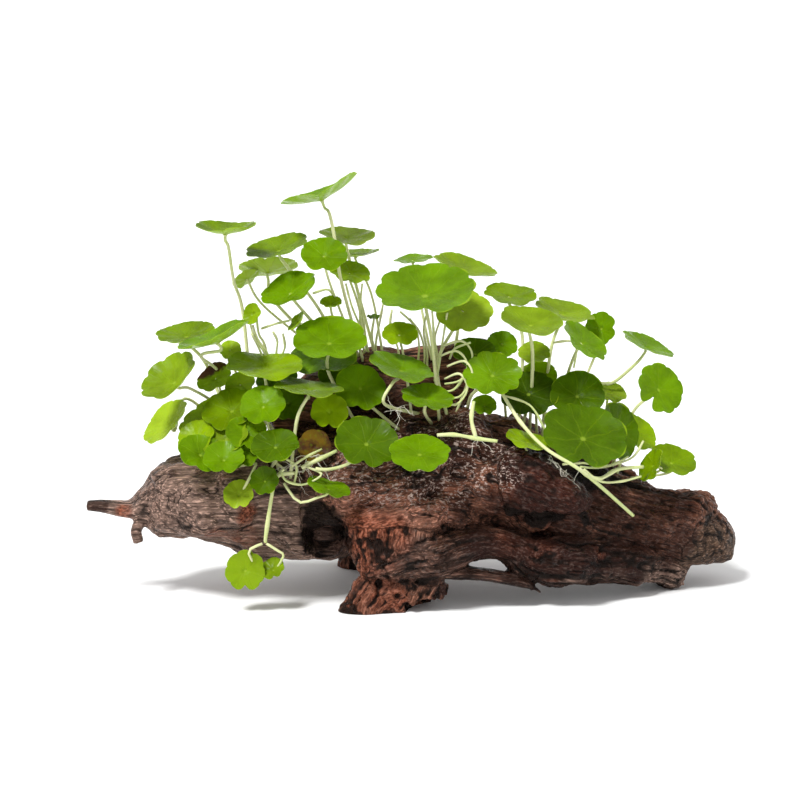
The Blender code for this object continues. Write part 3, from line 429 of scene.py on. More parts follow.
# Thin stems with no blade, each a line of places
LOOPS = {
    "stems_crossing": (
        ((14, 119, 30), (15, 104, 30), (15, 91, 26)),
        ((20, 118.4, 32), (18, 106, 30), (16, 93, 27)),
        ((-17.4, 132, 50), (-15.6, 126, 49), (-13.6, 116, 49), (-10.8, 98, 52)),
        ((-20.4, 130, 47), (-18, 121, 46), (-14, 111, 48), (-9.5, 97, 52)),
        ((-13.8, 130, 49), (-14.6, 122, 48), (-14.6, 114, 48), (-12.4, 98, 52)),
        ((-5.5, 122, 34), (-6.8, 115, 40), (-8.4, 106, 46), (-8, 97, 50)),
        ((-2, 119.6, 40), (-2.6, 113, 41), (0.4, 104, 44), (1, 96, 48)),
        ((1.2, 118.8, 38), (7, 113, 39), (8.8, 105, 42), (8, 96, 47)),
        ((11.6, 117, 34), (10.6, 111, 36), (12, 103, 40), (12, 95, 46)),
        ((5, 116, 36), (9, 110.5, 38), (11, 103, 41), (10.6, 95, 46)),
        ((17, 115, 40), (15, 108, 42), (16, 102, 44), (16, 95, 48)),
        ((43.2, 85.2, 12), (53.2, 81.2, 12), (59.2, 71.2, 10)),
        ((62, 106.4, 34), (71, 106.4, 34), (70.4, 96.4, 34)),
    ),
    "loops_middle": (
        ((18, 105, 26), (26, 107, 22), (30, 101, 20), (26, 92, 18), (19, 90, 20)),
        ((17, 101, 22), (24, 103, 18), (28, 97, 16), (23, 88, 16), (16, 87, 18)),
        ((20, 97, 18), (27, 99, 14), (30, 93, 13), (25, 85, 13), (18, 85, 15)),
        ((21, 100, 28), (23, 104, 24), (29.2, 106.4, 20)),
        ((19, 92, 16), (25, 94, 12), (28, 88, 11), (24, 82, 12), (18, 82.5, 13)),
    ),
    "loops_right": (
        ((98, 67.2, 20), (93.2, 60.4, 12), (81.2, 56.8, 4), (73, 57, -5)),
        ((74.4, 56, -7), (81.2, 51.2, -3), (89.2, 51.2, 2), (97.2, 53.2, 6)),
        ((66, 58, -7), (74, 58.5, -3), (84, 57.5, 3), (92, 61, 10)),
    ),
    "loops_left": (
        ((-33.6, 126, 40), (-27.6, 127.6, 40), (-24.8, 124.4, 40)),
        ((-54, 112, 34), (-48, 114, 32), (-42.8, 115.2, 30)),
        ((-58.4, 114, 30), (-56.6, 108, 31), (-53, 103, 32), (-50, 96, 34)),
        ((-57.4, 113.4, 31), (-55.4, 107.6, 32), (-52, 103, 33), (-49, 96, 35)),
        ((-57.8, 110, 29.4), (-55.6, 105.6, 31), (-53.6, 101, 32), (-52, 96, 34)),
        ((-49.4, 110.8, 33), (-47.6, 107, 34), (-48, 102, 35), (-47, 96, 36)),
        ((-45.4, 110, 34), (-44.6, 105, 35), (-45.6, 101, 36), (-45, 94, 37)),
        ((-36, 57, -5), (-30, 54, -7), (-37, 50, -8), (-44, 51.4, -8), (-46, 55, -6)),
        ((-42, 57, -4), (-36, 61, -2), (-30, 64, 2)),
        ((-44, 60, -2), (-40, 57, -4), (-41, 50, -6)),
    ),
}

# Where roots grow: (across, up, back, spread, count)
ROOT_TUFTS = {
    "roots_left": ((-40, 58, 0, 6, 12), (-34, 60, 2, 5, 8)),
    "roots_middle": ((0, 80, 12, 4, 8), (31, 69, 2, 3, 4)),
    "roots_right": ((62, 59, 2, 4, 10), (68, 56, 0, 4, 8)),
}


def between(values, place):
    """Catmull-Rom reading of a list of equal-length tuples at a place from 0 to len - 1."""
    last = len(values) - 1
    i = min(int(place), last - 1)
    t = place - i
    a, b = values[max(i - 1, 0)], values[i]
    c, d = values[i + 1], values[min(i + 2, last)]
    result = []
    for va, vb, vc, vd in zip(a, b, c, d):
        slope = (vc - va) * t + (2 * va - 5 * vb + 4 * vc - vd) * t * t
        result.append(vb + 0.5 * (slope + (3 * vb - va - 3 * vc + vd) * t**3))
    return result


def smooth(corners, stretches):
    """Points along a smooth line through corners."""
    last = len(corners) - 1
    return [Vector(between(corners, last * k / stretches)) for k in range(stretches + 1)]


def ramp_up(values, low, high):
    """0 below low, 1 above high and a smooth rise between."""
    share = np.clip((values - low) / (high - low), 0.0, 1.0)
    return share * share * (3.0 - 2.0 * share)


def lattice(cell, seed):
    """A repeatable number from 0 to 1 for each cell of a grid, mixed with large primes."""
    mixed = cell[:, 0] * 73856093 ^ cell[:, 1] * 19349663 ^ cell[:, 2] * 83492791 ^ seed * 297121507
    mixed = (mixed ^ mixed >> 13) * 1274126177
    return ((mixed ^ mixed >> 16) & 0xFFFFF) / 0xFFFFF


def rough(places, seed):
    """Smooth noise from -1 to 1, whose features are about 1 wide."""
    cell = np.floor(places).astype(np.int64)
    part = places - cell
    part = part * part * (3.0 - 2.0 * part)
    total = np.zeros(len(places))
    for corner in itertools.product((0, 1), repeat=3):
        weight = np.prod(np.where(corner, part, 1.0 - part), axis=1)
        total += weight * lattice(cell + corner, seed)
    return 2.0 * total - 1.0


class Shape:
    """The points and faces of a piece while it is made, in millimetres, and the three marks of each
    point that its finish reads."""

    def __init__(self):
        self.places = []
        self.faces = []
        self.finishes = []
        self.marks = []

    def add(self, places, faces, marks, finish=0):
        start = len(self.places)
        self.places += [tuple(place) for place in places]
        self.faces += [tuple(corner + start for corner in face) for face in faces]
        self.finishes += [finish] * len(faces)
        self.marks += [tuple(mark) for mark in marks]

    def made(self, name, finishes):
        mesh = bpy.data.meshes.new(name)
        mesh.from_pydata([Vector(place) * MM for place in self.places], [], self.faces)
        mesh.polygons.foreach_set("material_index", self.finishes)
        mesh.polygons.foreach_set("use_smooth", [True] * len(self.faces))
        mark = mesh.attributes.new("mark", "FLOAT_VECTOR", "POINT")
        mark.data.foreach_set("vector", np.array(self.marks, dtype=np.float32).ravel())
        for finish in finishes:
            mesh.materials.append(finish)
        mesh.update()
        return new_piece(name, mesh)


def new_piece(name, data):
    """A new object in the scene, of a mesh, lamp or camera."""
    made = bpy.data.objects.new(name, data)
    bpy.context.scene.collection.objects.link(made)
    return made


def piece_name(node):
    """The name of the piece that stands for a solid: leaf_top becomes top_leaf."""
    kind, rest = node.split("_", 1)
    return rest + "_" + kind


def place_piece(piece, node):
    """Lets a piece stand for its solid and ride with it."""
    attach(piece, "root")
    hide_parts(node)


def place_extra(piece):
    """Lets a piece with no solid of its own ride with the rest."""
    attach(piece, "root")


# Finishes


def add(tree, kind, inputs=None, **settings):
    """A shader node with its settings, its links and its fixed values."""
    node = tree.nodes.new(kind)
    for key, value in settings.items():
        setattr(node, key, value)
    for key, value in (inputs or {}).items():
        if isinstance(value, bpy.types.NodeSocket):
            tree.links.new(value, node.inputs[key])
        else:
            node.inputs[key].default_value = value
    return node


def calc(tree, operation, *values):
    """The result of a Math node."""
    return add(tree, "ShaderNodeMath", dict(enumerate(values)), operation=operation).outputs[0]


def mix(tree, share, first, second, blend="MIX"):
    """The result of mixing two colours."""
    inputs = {0: share, 6: with_alpha(first), 7: with_alpha(second)}
    return add(tree, "ShaderNodeMix", inputs, data_type="RGBA", blend_type=blend).outputs[2]


def with_alpha(colour):
    return colour if isinstance(colour, bpy.types.NodeSocket) else (*colour, 1.0)


def spread(tree, value, low, high, to_low=0.0, to_high=1.0):
    """A value stretched from one range to another and held there."""
    inputs = {"Value": value, "From Min": low, "From Max": high, "To Min": to_low, "To Max": to_high}
    return add(tree, "ShaderNodeMapRange", inputs, interpolation_type="SMOOTHSTEP").outputs[0]


def speckle(tree, where, scale, detail=4.0, coarse=0.55, twist=0.0):
    """Noise of a given scale, from 0 to 1."""
    inputs = {"Vector": where, "Scale": scale, "Detail": detail, "Roughness": coarse, "Distortion": twist}
    return add(tree, "ShaderNodeTexNoise", inputs).outputs[0]


def stretched(tree, where, *scale):
    """Places drawn out where the scale is low."""
    return add(tree, "ShaderNodeMapping", {"Vector": where, "Scale": scale}).outputs[0]


def times(tree, first, second):
    return calc(tree, "MULTIPLY", first, second)


def layer(tree, name, output="Vector"):
    """What the mesh carries under a name at each point."""
    return add(tree, "ShaderNodeAttribute", attribute_name=name).outputs[output]


def marks_of(tree):
    """The three marks that the mesh carries at each point."""
    return add(tree, "ShaderNodeSeparateXYZ", {0: layer(tree, "mark")}).outputs


def position(tree):
    return add(tree, "ShaderNodeNewGeometry").outputs["Position"]


def finished(finish, colour, roughness, normal=None):
    """The material, with what its shader reads linked up."""
    tree = finish.node_tree
    shader = tree.nodes["Principled BSDF"]
    tree.links.new(colour, shader.inputs["Base Color"])
    tree.links.new(roughness, shader.inputs["Roughness"])
    if normal:
        tree.links.new(normal, shader.inputs["Normal"])
    return finish


def new_finish(name):
    """An empty material and its Principled shader."""
    finish = bpy.data.materials.new(name)
    finish.use_nodes = True
    return finish, finish.node_tree, finish.node_tree.nodes["Principled BSDF"]


def bump(tree, height, distance, strength=1.0, below=None):
    inputs = {"Height": height, "Distance": distance, "Strength": strength}
    if below:
        inputs["Normal"] = below
    return add(tree, "ShaderNodeBump", inputs).outputs[0]


def wood_finish(name, settings):
    """Wet old wood: grain along the limb, painted shade in its furrows, pits and hollows, painted highlights
    of wet flecks, and redder where it has rotted. Its marks say how open each place lies to the light, how
    rotted it is, and how dark it is from soaking and painted shade."""
    finish, tree, shader = new_finish(name)
    grain, middle, gloss = layer(tree, "grain"), layer(tree, "tone", "Color"), layer(tree, "gloss", "Fac")
    opened, rot, soak_and_shade = marks_of(tree)
    where = position(tree)
    band = speckle(tree, stretched(tree, grain, 0.035, 1.0, 1.0), 0.5, 3.0, 0.6)
    hair = speckle(tree, stretched(tree, grain, 0.09, 1.0, 1.0), 1.5, 3.0, 0.6)
    patch = speckle(tree, where, 55.0, 4.0, 0.6)
    fleck = speckle(tree, stretched(tree, grain, 0.45, 1.0, 1.0), 1.1, 2.0, 0.7)
    dark = mix(tree, 0.75, middle, settings.crevice_colour)
    light = mix(tree, 1.0, middle, (STREAK_GAIN,) * 3, "MULTIPLY")
    light = mix(tree, settings.streak_share, light, settings.streak_colour)
    colour = mix(tree, spread(tree, band, 0.34, 0.6), dark, middle)
    colour = mix(tree, spread(tree, hair, 0.34, 0.46, 0.7, 0.0), colour, dark)
    colour = mix(tree, spread(tree, hair, 0.53, 0.66, 0.0, 0.8), colour, light)
    red = mix(tree, spread(tree, fleck, 0.36, 0.64), settings.red_dark, settings.red_wood)
    red = mix(tree, spread(tree, hair, 0.34, 0.46, 0.6, 0.0), red, settings.red_dark)
    rotted = times(tree, rot, spread(tree, patch, 0.30, 0.62, 0.25, 1.0))
    colour = mix(tree, rotted, colour, red)
    streak = times(tree, spread(tree, patch, 0.58, 0.72, 0.0, 0.4), spread(tree, band, 0.4, 0.6))
    colour = mix(tree, streak, colour, settings.red_wood)
    # darker where the wood is wet, and painted shade under the leaves and in the cavity at the left
    colour = mix(tree, spread(tree, soak_and_shade, 0.1, 0.9, 0.0, 0.75), colour, settings.wet_colour)
    # Painted highlight: light flecks stand in for glints on the wet wood, mostly in the glinting patches
    glint = times(tree, spread(tree, fleck, 0.52, 0.64), spread(tree, gloss, 0.0, 1.0, 0.08, 0.85))
    colour = mix(tree, glint, colour, settings.fleck_colour)
    # Painted shade: the crevice colour where a place lies closed to the light, in furrows, pits, cracks and
    # hollows and under the leaves
    colour = mix(tree, spread(tree, opened, 0.05, 0.7, 0.95, 0.0), colour, settings.crevice_colour)
    damp = speckle(tree, where, 160.0, 3.0)
    roughness = spread(tree, damp, 0.38, 0.62, settings.wet_roughness, settings.dry_roughness)
    relief = bump(tree, band, 0.0012, 0.8)
    relief = bump(tree, hair, 0.0007, 0.9, relief)
    relief = bump(tree, fleck, 0.0007, 0.9, relief)
    shader.inputs["Specular IOR Level"].default_value = 0.07
    return finished(finish, colour, roughness, relief)


def leaf_finish(name, low, high, settings):
    """A waxy blade: paler veins, spot, rim and underside, with soft wet patches. Its marks say where
    each point lies on a blade of radius 1, and the number of lobes, which is negative below."""
    finish, tree, shader = new_finish(name)
    across, ahead, lobes = marks_of(tree)
    where = position(tree)
    under = spread(tree, lobes, -1.0, 1.0, 1.0, 0.0)
    half_lobes = times(tree, calc(tree, "ABSOLUTE", lobes), 0.5)
    squares = calc(tree, "ADD", times(tree, across, across), times(tree, ahead, ahead))
    reach = calc(tree, "SQRT", squares)
    angle = calc(tree, "ARCTAN2", across, times(tree, ahead, -1.0))
    swell = speckle(tree, where, 90.0, 3.0)
    mottle = speckle(tree, where, 700.0, 3.0)
    swayed = calc(tree, "ADD", angle, spread(tree, swell, 0.3, 0.7, -0.1, 0.1))
    bent = times(tree, swayed, half_lobes)
    main = times(tree, calc(tree, "ABSOLUTE", calc(tree, "COSINE", bent)), reach)
    main = spread(tree, main, 0.02, 0.10, 1.0, 0.0)
    forked = times(tree, calc(tree, "ABSOLUTE", calc(tree, "COSINE", times(tree, bent, 3.0))), reach)
    forked = spread(tree, forked, 0.04, 0.2, 1.0, 0.0)
    forked = times(tree, forked, spread(tree, reach, 0.45, 0.65, 0.0, 0.45))
    veins = calc(tree, "MAXIMUM", main, forked)
    colour = mix(tree, spread(tree, swell, 0.35, 0.65), low, high)
    colour = mix(tree, spread(tree, mottle, 0.4, 0.7, 0.0, 0.25), colour, high)
    colour = mix(tree, times(tree, veins, settings.vein_share), colour, settings.vein_colour)
    spot = spread(tree, reach, 0.03, 0.09, 0.4, 0.0)
    colour = mix(tree, spot, colour, settings.spot_colour)
    rim = spread(tree, reach, 0.965, 0.995, 0.0, 0.45)
    colour = mix(tree, rim, colour, settings.vein_colour)
    pale = mix(tree, 0.5, tuple(UNDER_GAIN * part for part in high), settings.under_colour)
    pale = mix(tree, times(tree, veins, 0.5), pale, settings.vein_colour)
    colour = mix(tree, times(tree, under, 0.8), colour, pale)
    damp = speckle(tree, where, 260.0, 2.0)
    roughness = spread(tree, damp, 0.4, 0.6, settings.wet_roughness, settings.dry_roughness)
    relief = bump(tree, mottle, 0.00012, 0.5, bump(tree, veins, 0.00025, 0.35))
    shader.inputs["Specular IOR Level"].default_value = 0.06
    shader.inputs["Subsurface Weight"].default_value = 0.12
    shader.inputs["Subsurface Radius"].default_value = (0.4, 0.8, 0.1)
    shader.inputs["Subsurface Scale"].default_value = 0.002
    return finished(finish, colour, roughness, relief)


def brown_finish(name, settings):
    """A dying blade, brown and amber in patches."""
    finish, tree, shader = new_finish(name)
    where = position(tree)
    blotch = speckle(tree, where, 150.0, 5.0, 0.6, 0.8)
    fine = speckle(tree, where, 900.0, 3.0)
    colour = mix(tree, spread(tree, blotch, 0.38, 0.6), settings.withered_dark, settings.withered_light)
    colour = mix(tree, spread(tree, fine, 0.5, 0.75, 0.0, 0.4), colour, settings.olive)
    shader.inputs["Specular IOR Level"].default_value = 0.1
    roughness = spread(tree, fine, 0.3, 0.7, 0.3, 0.6)
    return finished(finish, colour, roughness, bump(tree, blotch, 0.0004, 0.6))


def scorched_finish(settings):
    """A green blade whose far side has gone brown."""
    colour = Vector(settings.lime)
    finish = leaf_finish("scorched_leaf", colour * settings.shade_share, colour, settings)
    tree = finish.node_tree
    base = tree.nodes["Principled BSDF"].inputs["Base Color"]
    _, ahead, _ = marks_of(tree)
    edge = calc(tree, "ADD", ahead, speckle(tree, position(tree), 250.0, 3.0))
    brown = mix(tree, spread(tree, edge, 0.75, 1.0), base.links[0].from_socket, settings.withered_dark)
    tree.links.new(brown, base)
    return finish


def stem_finish(name, settings):
    """A juicy stem: cream at its foot and greener towards the blade, with fine pale marks. The first
    of its marks runs from 0 at its foot to 1."""
    finish, tree, shader = new_finish(name)
    height, _, _ = marks_of(tree)
    where = position(tree)
    broad = speckle(tree, where, 120.0, 3.0)
    fine = speckle(tree, where, 1500.0, 3.0)
    share = calc(tree, "ADD", height, spread(tree, broad, 0.3, 0.7, -0.35, 0.35))
    colour = mix(tree, spread(tree, share, 0.0, 1.0), settings.stem_low, settings.stem_high)
    colour = mix(tree, spread(tree, fine, 0.45, 0.7, 0.0, 0.3), colour, settings.stem_light)
    roughness = spread(tree, fine, 0.3, 0.7, 0.2, 0.42)
    shader.inputs["Specular IOR Level"].default_value = 0.2
    shader.inputs["Subsurface Weight"].default_value = 0.15
    shader.inputs["Subsurface Radius"].default_value = (0.8, 0.8, 0.3)
    shader.inputs["Subsurface Scale"].default_value = 0.0015
    return finished(finish, colour, roughness, bump(tree, fine, 0.0001, 0.5))


def root_finish(name, settings):
    """Fine pale roots, browner in patches."""
    finish, tree, _ = new_finish(name)
    patch = speckle(tree, position(tree), 300.0, 3.0)
    colour = mix(tree, spread(tree, patch, 0.4, 0.7, 0.0, 0.7), settings.root_colour, settings.root_brown)
    return finished(finish, colour, spread(tree, patch, 0.3, 0.7, 0.35, 0.6))


# Driftwood


class Spine(NamedTuple):
    """A limb's rings, as arrays in millimetres."""

    centres: np.ndarray
    high: np.ndarray
    deep: np.ndarray
    tangents: np.ndarray
    sides: np.ndarray
    others: np.ndarray
    run: np.ndarray  # length from the first ring


def limb_places(limb):
    """Places along a limb's stations, about RING_SPACING apart."""
    places = [0.0]
    for i, (start, end) in enumerate(zip(limb.stations, limb.stations[1:])):
        count = max(1, round(math.dist(start[:3], end[:3]) / RING_SPACING))
        places += [i + (k + 1) / count for k in range(count)]
    return places


def spine_of(limb):
    """A limb's rings, about RING_SPACING apart along a smooth line through its stations."""
    centres, high, deep = [], [], []
    for place in limb_places(limb):
        across, up, back, half_height, half_depth = between(limb.stations, place)
        if limb.hidden:
            centre, scale = Vector((across, back, up)), 1.0
        else:
            centre, scale = seen(across, up, back), sight_scale(up, back)
        centres.append(centre)
        high.append(max(half_height * scale, THINNEST))
        deep.append(max(half_depth, THINNEST))
    last = len(centres) - 1
    tangents, sides, others = [], [], []
    for k in range(len(centres)):
        tangent = (centres[min(k + 1, last)] - centres[max(k - 1, 0)]).normalized()
        side = (Vector((0, 1, 0)) - tangent * tangent.y).normalized()
        tangents.append(tangent)
        sides.append(side)
        others.append(tangent.cross(side))
    steps = [0.0] + [(b - a).length for a, b in zip(centres, centres[1:])]
    columns = (centres, high, deep, tangents, sides, others, np.cumsum(steps))
    return Spine(*(np.array(column, dtype=float) for column in columns))


def squarish(value):
    """A sine or cosine drawn towards a square's."""
    return math.copysign(abs(value) ** (2.0 / SECTION_POWER), value)


def limb_mesh(limb):
    """A closed loft through a limb's rings."""
    spine = spine_of(limb)
    bm = bmesh.new()
    loops = []
    for k in range(len(spine.run)):
        centre = Vector(spine.centres[k])
        loop = []
        for j in range(WOOD_SIDES):
            angle = 2 * math.pi * j / WOOD_SIDES
            radial = Vector(spine.sides[k]) * (squarish(math.cos(angle)) * spine.deep[k])
            radial += Vector(spine.others[k]) * (squarish(math.sin(angle)) * spine.high[k])
            spot = centre + radial + Vector((limb.seed * LUMP_SIZE, 0, 0))
            swelling = noise.noise(spot / LUMP_SIZE) + KNOB_SHARE * noise.noise(spot / KNOB_SIZE)
            loop.append(bm.verts.new((centre + radial * (1.0 + limb.lump * swelling)) * MM))
        loops.append(loop)
    for lower, upper in zip(loops, loops[1:]):
        for j in range(WOOD_SIDES):
            after = (j + 1) % WOOD_SIDES
            bm.faces.new((lower[j], lower[after], upper[after], upper[j]))
    bm.faces.new(loops[0])
    bm.faces.new(loops[-1])
    bmesh.ops.recalc_face_normals(bm, faces=bm.faces)
    mesh = bpy.data.meshes.new("limb")
    bm.to_mesh(mesh)
    bm.free()
    return mesh


def evaluated_mesh(made):
    """The mesh that an object's modifiers give, with the object removed."""
    depsgraph = bpy.context.evaluated_depsgraph_get()
    mesh = bpy.data.meshes.new_from_object(made.evaluated_get(depsgraph))
    bpy.data.objects.remove(made, do_unlink=True)
    return mesh


def hollowed(mesh, shape):
    """A limb's mesh with a bite taken out of it."""
    made = new_piece("limb", mesh)
    bite = new_piece("bite", limb_mesh(shape))
    cut = made.modifiers.new("bite", "BOOLEAN")
    cut.operation = "DIFFERENCE"
    cut.object = bite
    cut.solver = "EXACT"
    result = evaluated_mesh(made)
    bpy.data.objects.remove(bite, do_unlink=True)
    return result


def grown_together(cell):
    """All limbs as one closed skin of even cells, cut flat on the floor."""
    bm = bmesh.new()
    for name, limb in LIMBS.items():
        mesh = limb_mesh(limb)
        for owner, shape in HOLLOWS.values():
            if owner == name:
                mesh = hollowed(mesh, shape)
        bm.from_mesh(mesh)
    for owner, shape in OUTGROWTHS.values():
        bm.from_mesh(limb_mesh(shape))
    mesh = bpy.data.meshes.new("driftwood")
    bm.to_mesh(mesh)
    bm.free()
    made = new_piece("driftwood", mesh)
    skin = made.modifiers.new("skin", "REMESH")
    skin.mode = "VOXEL"
    skin.voxel_size = cell
    ease = made.modifiers.new("ease", "SMOOTH")
    ease.iterations = SKIN_EASING
    mesh = evaluated_mesh(made)
    bm = bmesh.new()
    bm.from_mesh(mesh)
    everything = bm.verts[:] + bm.edges[:] + bm.faces[:]
    bmesh.ops.bisect_plane(bm, geom=everything, plane_co=(0, 0, 0), plane_no=(0, 0, 1), clear_inner=True)
    bmesh.ops.holes_fill(bm, edges=[edge for edge in bm.edges if edge.is_boundary])
    bmesh.ops.triangulate(bm, faces=bm.faces)
    bm.to_mesh(mesh)
    bm.free()
    return mesh


def mesh_arrays(mesh):
    """A mesh's places in millimetres, its normals and its triangles."""
    places = np.empty(3 * len(mesh.vertices))
    mesh.vertices.foreach_get("co", places)
    normals = np.empty(3 * len(mesh.vertices))
    mesh.vertex_normals.foreach_get("vector", normals)
    mesh.calc_loop_triangles()
    corners = np.empty(3 * len(mesh.loop_triangles), dtype=np.int64)
    mesh.loop_triangles.foreach_get("vertices", corners)
    return places.reshape(-1, 3) / MM, normals.reshape(-1, 3), corners.reshape(-1, 3)


def along(spine, places):
    """Each place's run along a limb and two distances from its middle, how far out it lies, where 1
    is the limb's surface, and the limb's half thickness there."""
    gaps = (places**2).sum(1)[:, None] - 2.0 * places @ spine.centres.T + (spine.centres**2).sum(1)
    nearest = gaps.argmin(1)
    offset = places - spine.centres[nearest]
    ahead = (offset * spine.tangents[nearest]).sum(1)
    aside = (offset * spine.sides[nearest]).sum(1)
    over = (offset * spine.others[nearest]).sum(1)
    thickness = np.minimum(spine.high, spine.deep)[nearest]
    beyond = np.maximum(np.abs(ahead) - RING_SPACING, 0.0) / np.minimum(thickness, END_REACH)
    reach = np.sqrt((aside / spine.deep[nearest]) ** 2 + (over / spine.high[nearest]) ** 2 + beyond**2)
    return np.column_stack((spine.run[nearest] + ahead, aside, over)), reach, thickness


def carving(limb, grain, places):
    """How high a limb's grain, ledges, crags and crumbs stand, in millimetres, and how open each
    place lies to the light."""
    seed = int(limb.seed)
    run, aside, over = (places if limb.grain is LONG_GRAIN else grain).T
    sway = SWAY * rough(places / SWAY_SIZE, seed)
    aside, over = aside + sway, over + sway

    def fibres(long, wide, number):
        return rough(np.column_stack((run / long, aside / wide, over / wide)), seed + number)

    groove = 1.0 - ramp_up(np.abs(fibres(40.0, 2.0, 1)), 0.0, 0.3)
    rib = fibres(70.0, 3.0, 2) + 0.5 * fibres(30.0, 1.5, 10)
    steps = 1.7 * fibres(45.0, 7.0, 3) + 0.25 * rough(places / 4.0, seed + 4)
    ledge = np.floor(steps) + ramp_up(steps - np.floor(steps), 0.42, 0.58)
    crag = 0.8 * rough(places / 5.5, seed + 5) + 0.6 * rough(places / 2.8, seed + 6)
    crumb = rough(places / 1.5, seed + 7)
    pit = ramp_up(rough(places / 3.6, seed + 8) + 0.4 * rough(places / 1.8, seed + 9), 0.2, 0.55)
    kind = limb.grain
    height = kind.rib * rib - kind.furrow * groove + 0.5 * kind.ledge * ledge
    height += kind.crag * crag + kind.crumb * crumb - kind.pit * pit
    # how open to the light, for the painted shade: ribs and crags lie open, and grooves and pits lie in the
    # dark
    shade = 0.75 + 0.3 * rib - 0.7 * groove * min(1.0, 2.0 * kind.furrow)
    shade += 0.15 * crag + 0.3 * kind.crumb * crumb
    return height, shade - pit * min(1.0, kind.pit)


# Patches of the driftwood's surface: (across, up, back, radius). Rotted wood is red; the dark patches are
# partly wet wood and partly painted shade;
#  the hollow patches are painted shade in hollows and cracks and under the leaves; the glinting patches
#  carry painted highlights of wet flecks; and the others have their own colour.
PATCHES = {
    "rotted": (
        (-14, 28, -6, 14), (-5, 27, -6, 12), (-17, 16, -3, 8), (-12, 21, -8, 9), (-14, 6, -5, 10),
        (-3, 6, -5, 9), (46, 26, -4, 8), (57, 26, -2, 8), (-72, 29, 6, 6), (-60, 28, 5, 7),
        (-60, 38, 2, 5), (-108, 39, 19, 4), (80, 21, 8, 4), (-20, 40, 74, 22), (40, 36, 70, 18),
    ),
    # dark wet wood, and painted shade under the leaves and in the cavity at the left
    "soaked_and_shaded": (
        (-90, 56, 12, 4), (-119, 42, 21, 5), (12, 49, 2, 7), (46, 56, 0, 7), (58, 58, 2, 9),
        (78, 54, 12, 9), (7, 56, 3, 9), (27, 55, 1, 9), (103, 44, 26, 12), (112, 40, 30, 10),
        (-26, 29, 10, 10), (28, 42, -1, 9), (40, 40, 0, 9), (54, 44, -1, 13), (68, 42, 6, 14),
        (84, 42, 14, 14), (34, 27, -4, 9), (46, 24, -3, 10), (58, 22, -2, 12), (74, 22, 3, 13),
        (90, 20, 14, 13), (5, 72, 14, 16), (22, 74, 12, 17), (38, 70, 11, 13), (64, 58, 16, 15),
        (56, 37, 0, 7), (70, 38, 4, 7), (16, 8, 0, 5), (-12, 76, 46, 24), (84, 50, 20, 9),
        (100, 33, 24, 12), (110, 30, 28, 11), (94, 27, 16, 10),
    ),
    "grey": (
        (72, 12, 2, 5), (86, 12, 12, 7), (100, 12, 23, 8), (111, 13, 31, 8),
    ),
    "worn": (
        (124, 27, 31, 13), (120, 22, 30, 9), (128, 26, 40, 12),
    ),
    # painted shade in hollows and cracks and under the leaves
    "hollow": (
        (86, 57, 22, 9), (-29, 36, 6, 9), (-29, 29, 6, 10), (-28, 23, 4, 6), (-17, 40, -6, 3.5),
        (54, 60, 14, 12), (66, 58, 17, 13), (76, 57, 20, 11), (46, 37, 0, 5), (56, 37, 2, 6),
        (66, 37, 4, 6), (76, 37.5, 7, 5), (2, 11.5, -7, 2.5), (10, 12, -6, 2.5),
    ),
    # painted highlights: where the light wet flecks lie thickest
    "glossy": (
        (-20, 53, 4, 10), (-8, 51, 3, 11), (6, 50, 3, 12), (20, 50, 3, 12), (30, 58, 2, 12),
        (5, 72, 14, 16), (22, 74, 12, 16), (38, 66, 6, 12), (43, 55, 0, 8),
    ),
    "plank": (
        (-27, 41, 0, 6), (-19, 40.5, -4, 7), (-10, 40, -5, 7), (-2, 40, -5, 7), (6, 39.5, -5, 7),
        (14, 39, -4, 7), (22, 38, -2, 6),
    ),
    "umber": (
        (-4, 19, -9, 8), (8, 21, -9, 9), (22, 17, -5, 8), (36, 14, -2, 6),
    ),
}

# The colours that patches have, by the names that the settings give them, in the order of laying on
PATCH_COLOURS = {"grey": "grey", "umber": "umber", "worn": "tan", "plank": "russet"}


def near(places, spots, seed):
    """How far each place lies inside soft-edged spots, from 0 to 1."""
    total = np.zeros(len(places))
    for across, up, back, radius in spots:
        gap = np.linalg.norm(places - np.array(seen(across, up, back)), axis=1)
        total = np.maximum(total, 1.0 - ramp_up(gap, PATCH_EDGE[0] * radius, PATCH_EDGE[1] * radius))
    fray = PATCH_FRAY * rough(places / FRAY_SIZE, seed) * (total > 0.0)
    return np.clip(total + fray, 0.0, 1.0)


def wood_piece(node, choice, places, normals, corners, layers, finish):
    """The part of the driftwood's skin that belongs to one limb."""
    used, faces = np.unique(corners[choice], return_inverse=True)
    faces = faces.reshape(-1, 3)
    name = piece_name(node)
    mesh = bpy.data.meshes.new(name)
    mesh.from_pydata(places[used] * MM, [], faces.tolist())
    for title, values in layers.items():
        made = mesh.attributes.new(title, "FLOAT_VECTOR", "POINT")
        made.data.foreach_set("vector", values[used].astype(np.float32).ravel())
    mesh.polygons.foreach_set("use_smooth", [True] * len(faces))
    mesh.normals_split_custom_set_from_vertices(normals[used].tolist())
    mesh.materials.append(finish)
    mesh.update()
    piece = new_piece(name, mesh)
    place_piece(piece, node)
    return piece


# Colours of the driftwood's limbs, by the names that the settings give them
WOOD_TONES = {
    "wood_trunk": "chocolate",
    "wood_front_foot": "chocolate",
    "wood_left_limb": "grey",
    "wood_low_limb": "ribbed",
    "wood_upper_branch": "chocolate",
    "wood_rear_foot": "chocolate",
    "wood_splinter": "ribbed",
    "toe": "chocolate",
    "burl": "maroon",
    "hook": "grey",
}


def shapes_of_wood():
    """Each shape that the driftwood is grown from: (name, the solid it belongs to, its stations)."""
    limbs = [(name, name, limb) for name, limb in LIMBS.items()]
    return limbs + [(name, owner, shape) for name, (owner, shape) in OUTGROWTHS.items()]


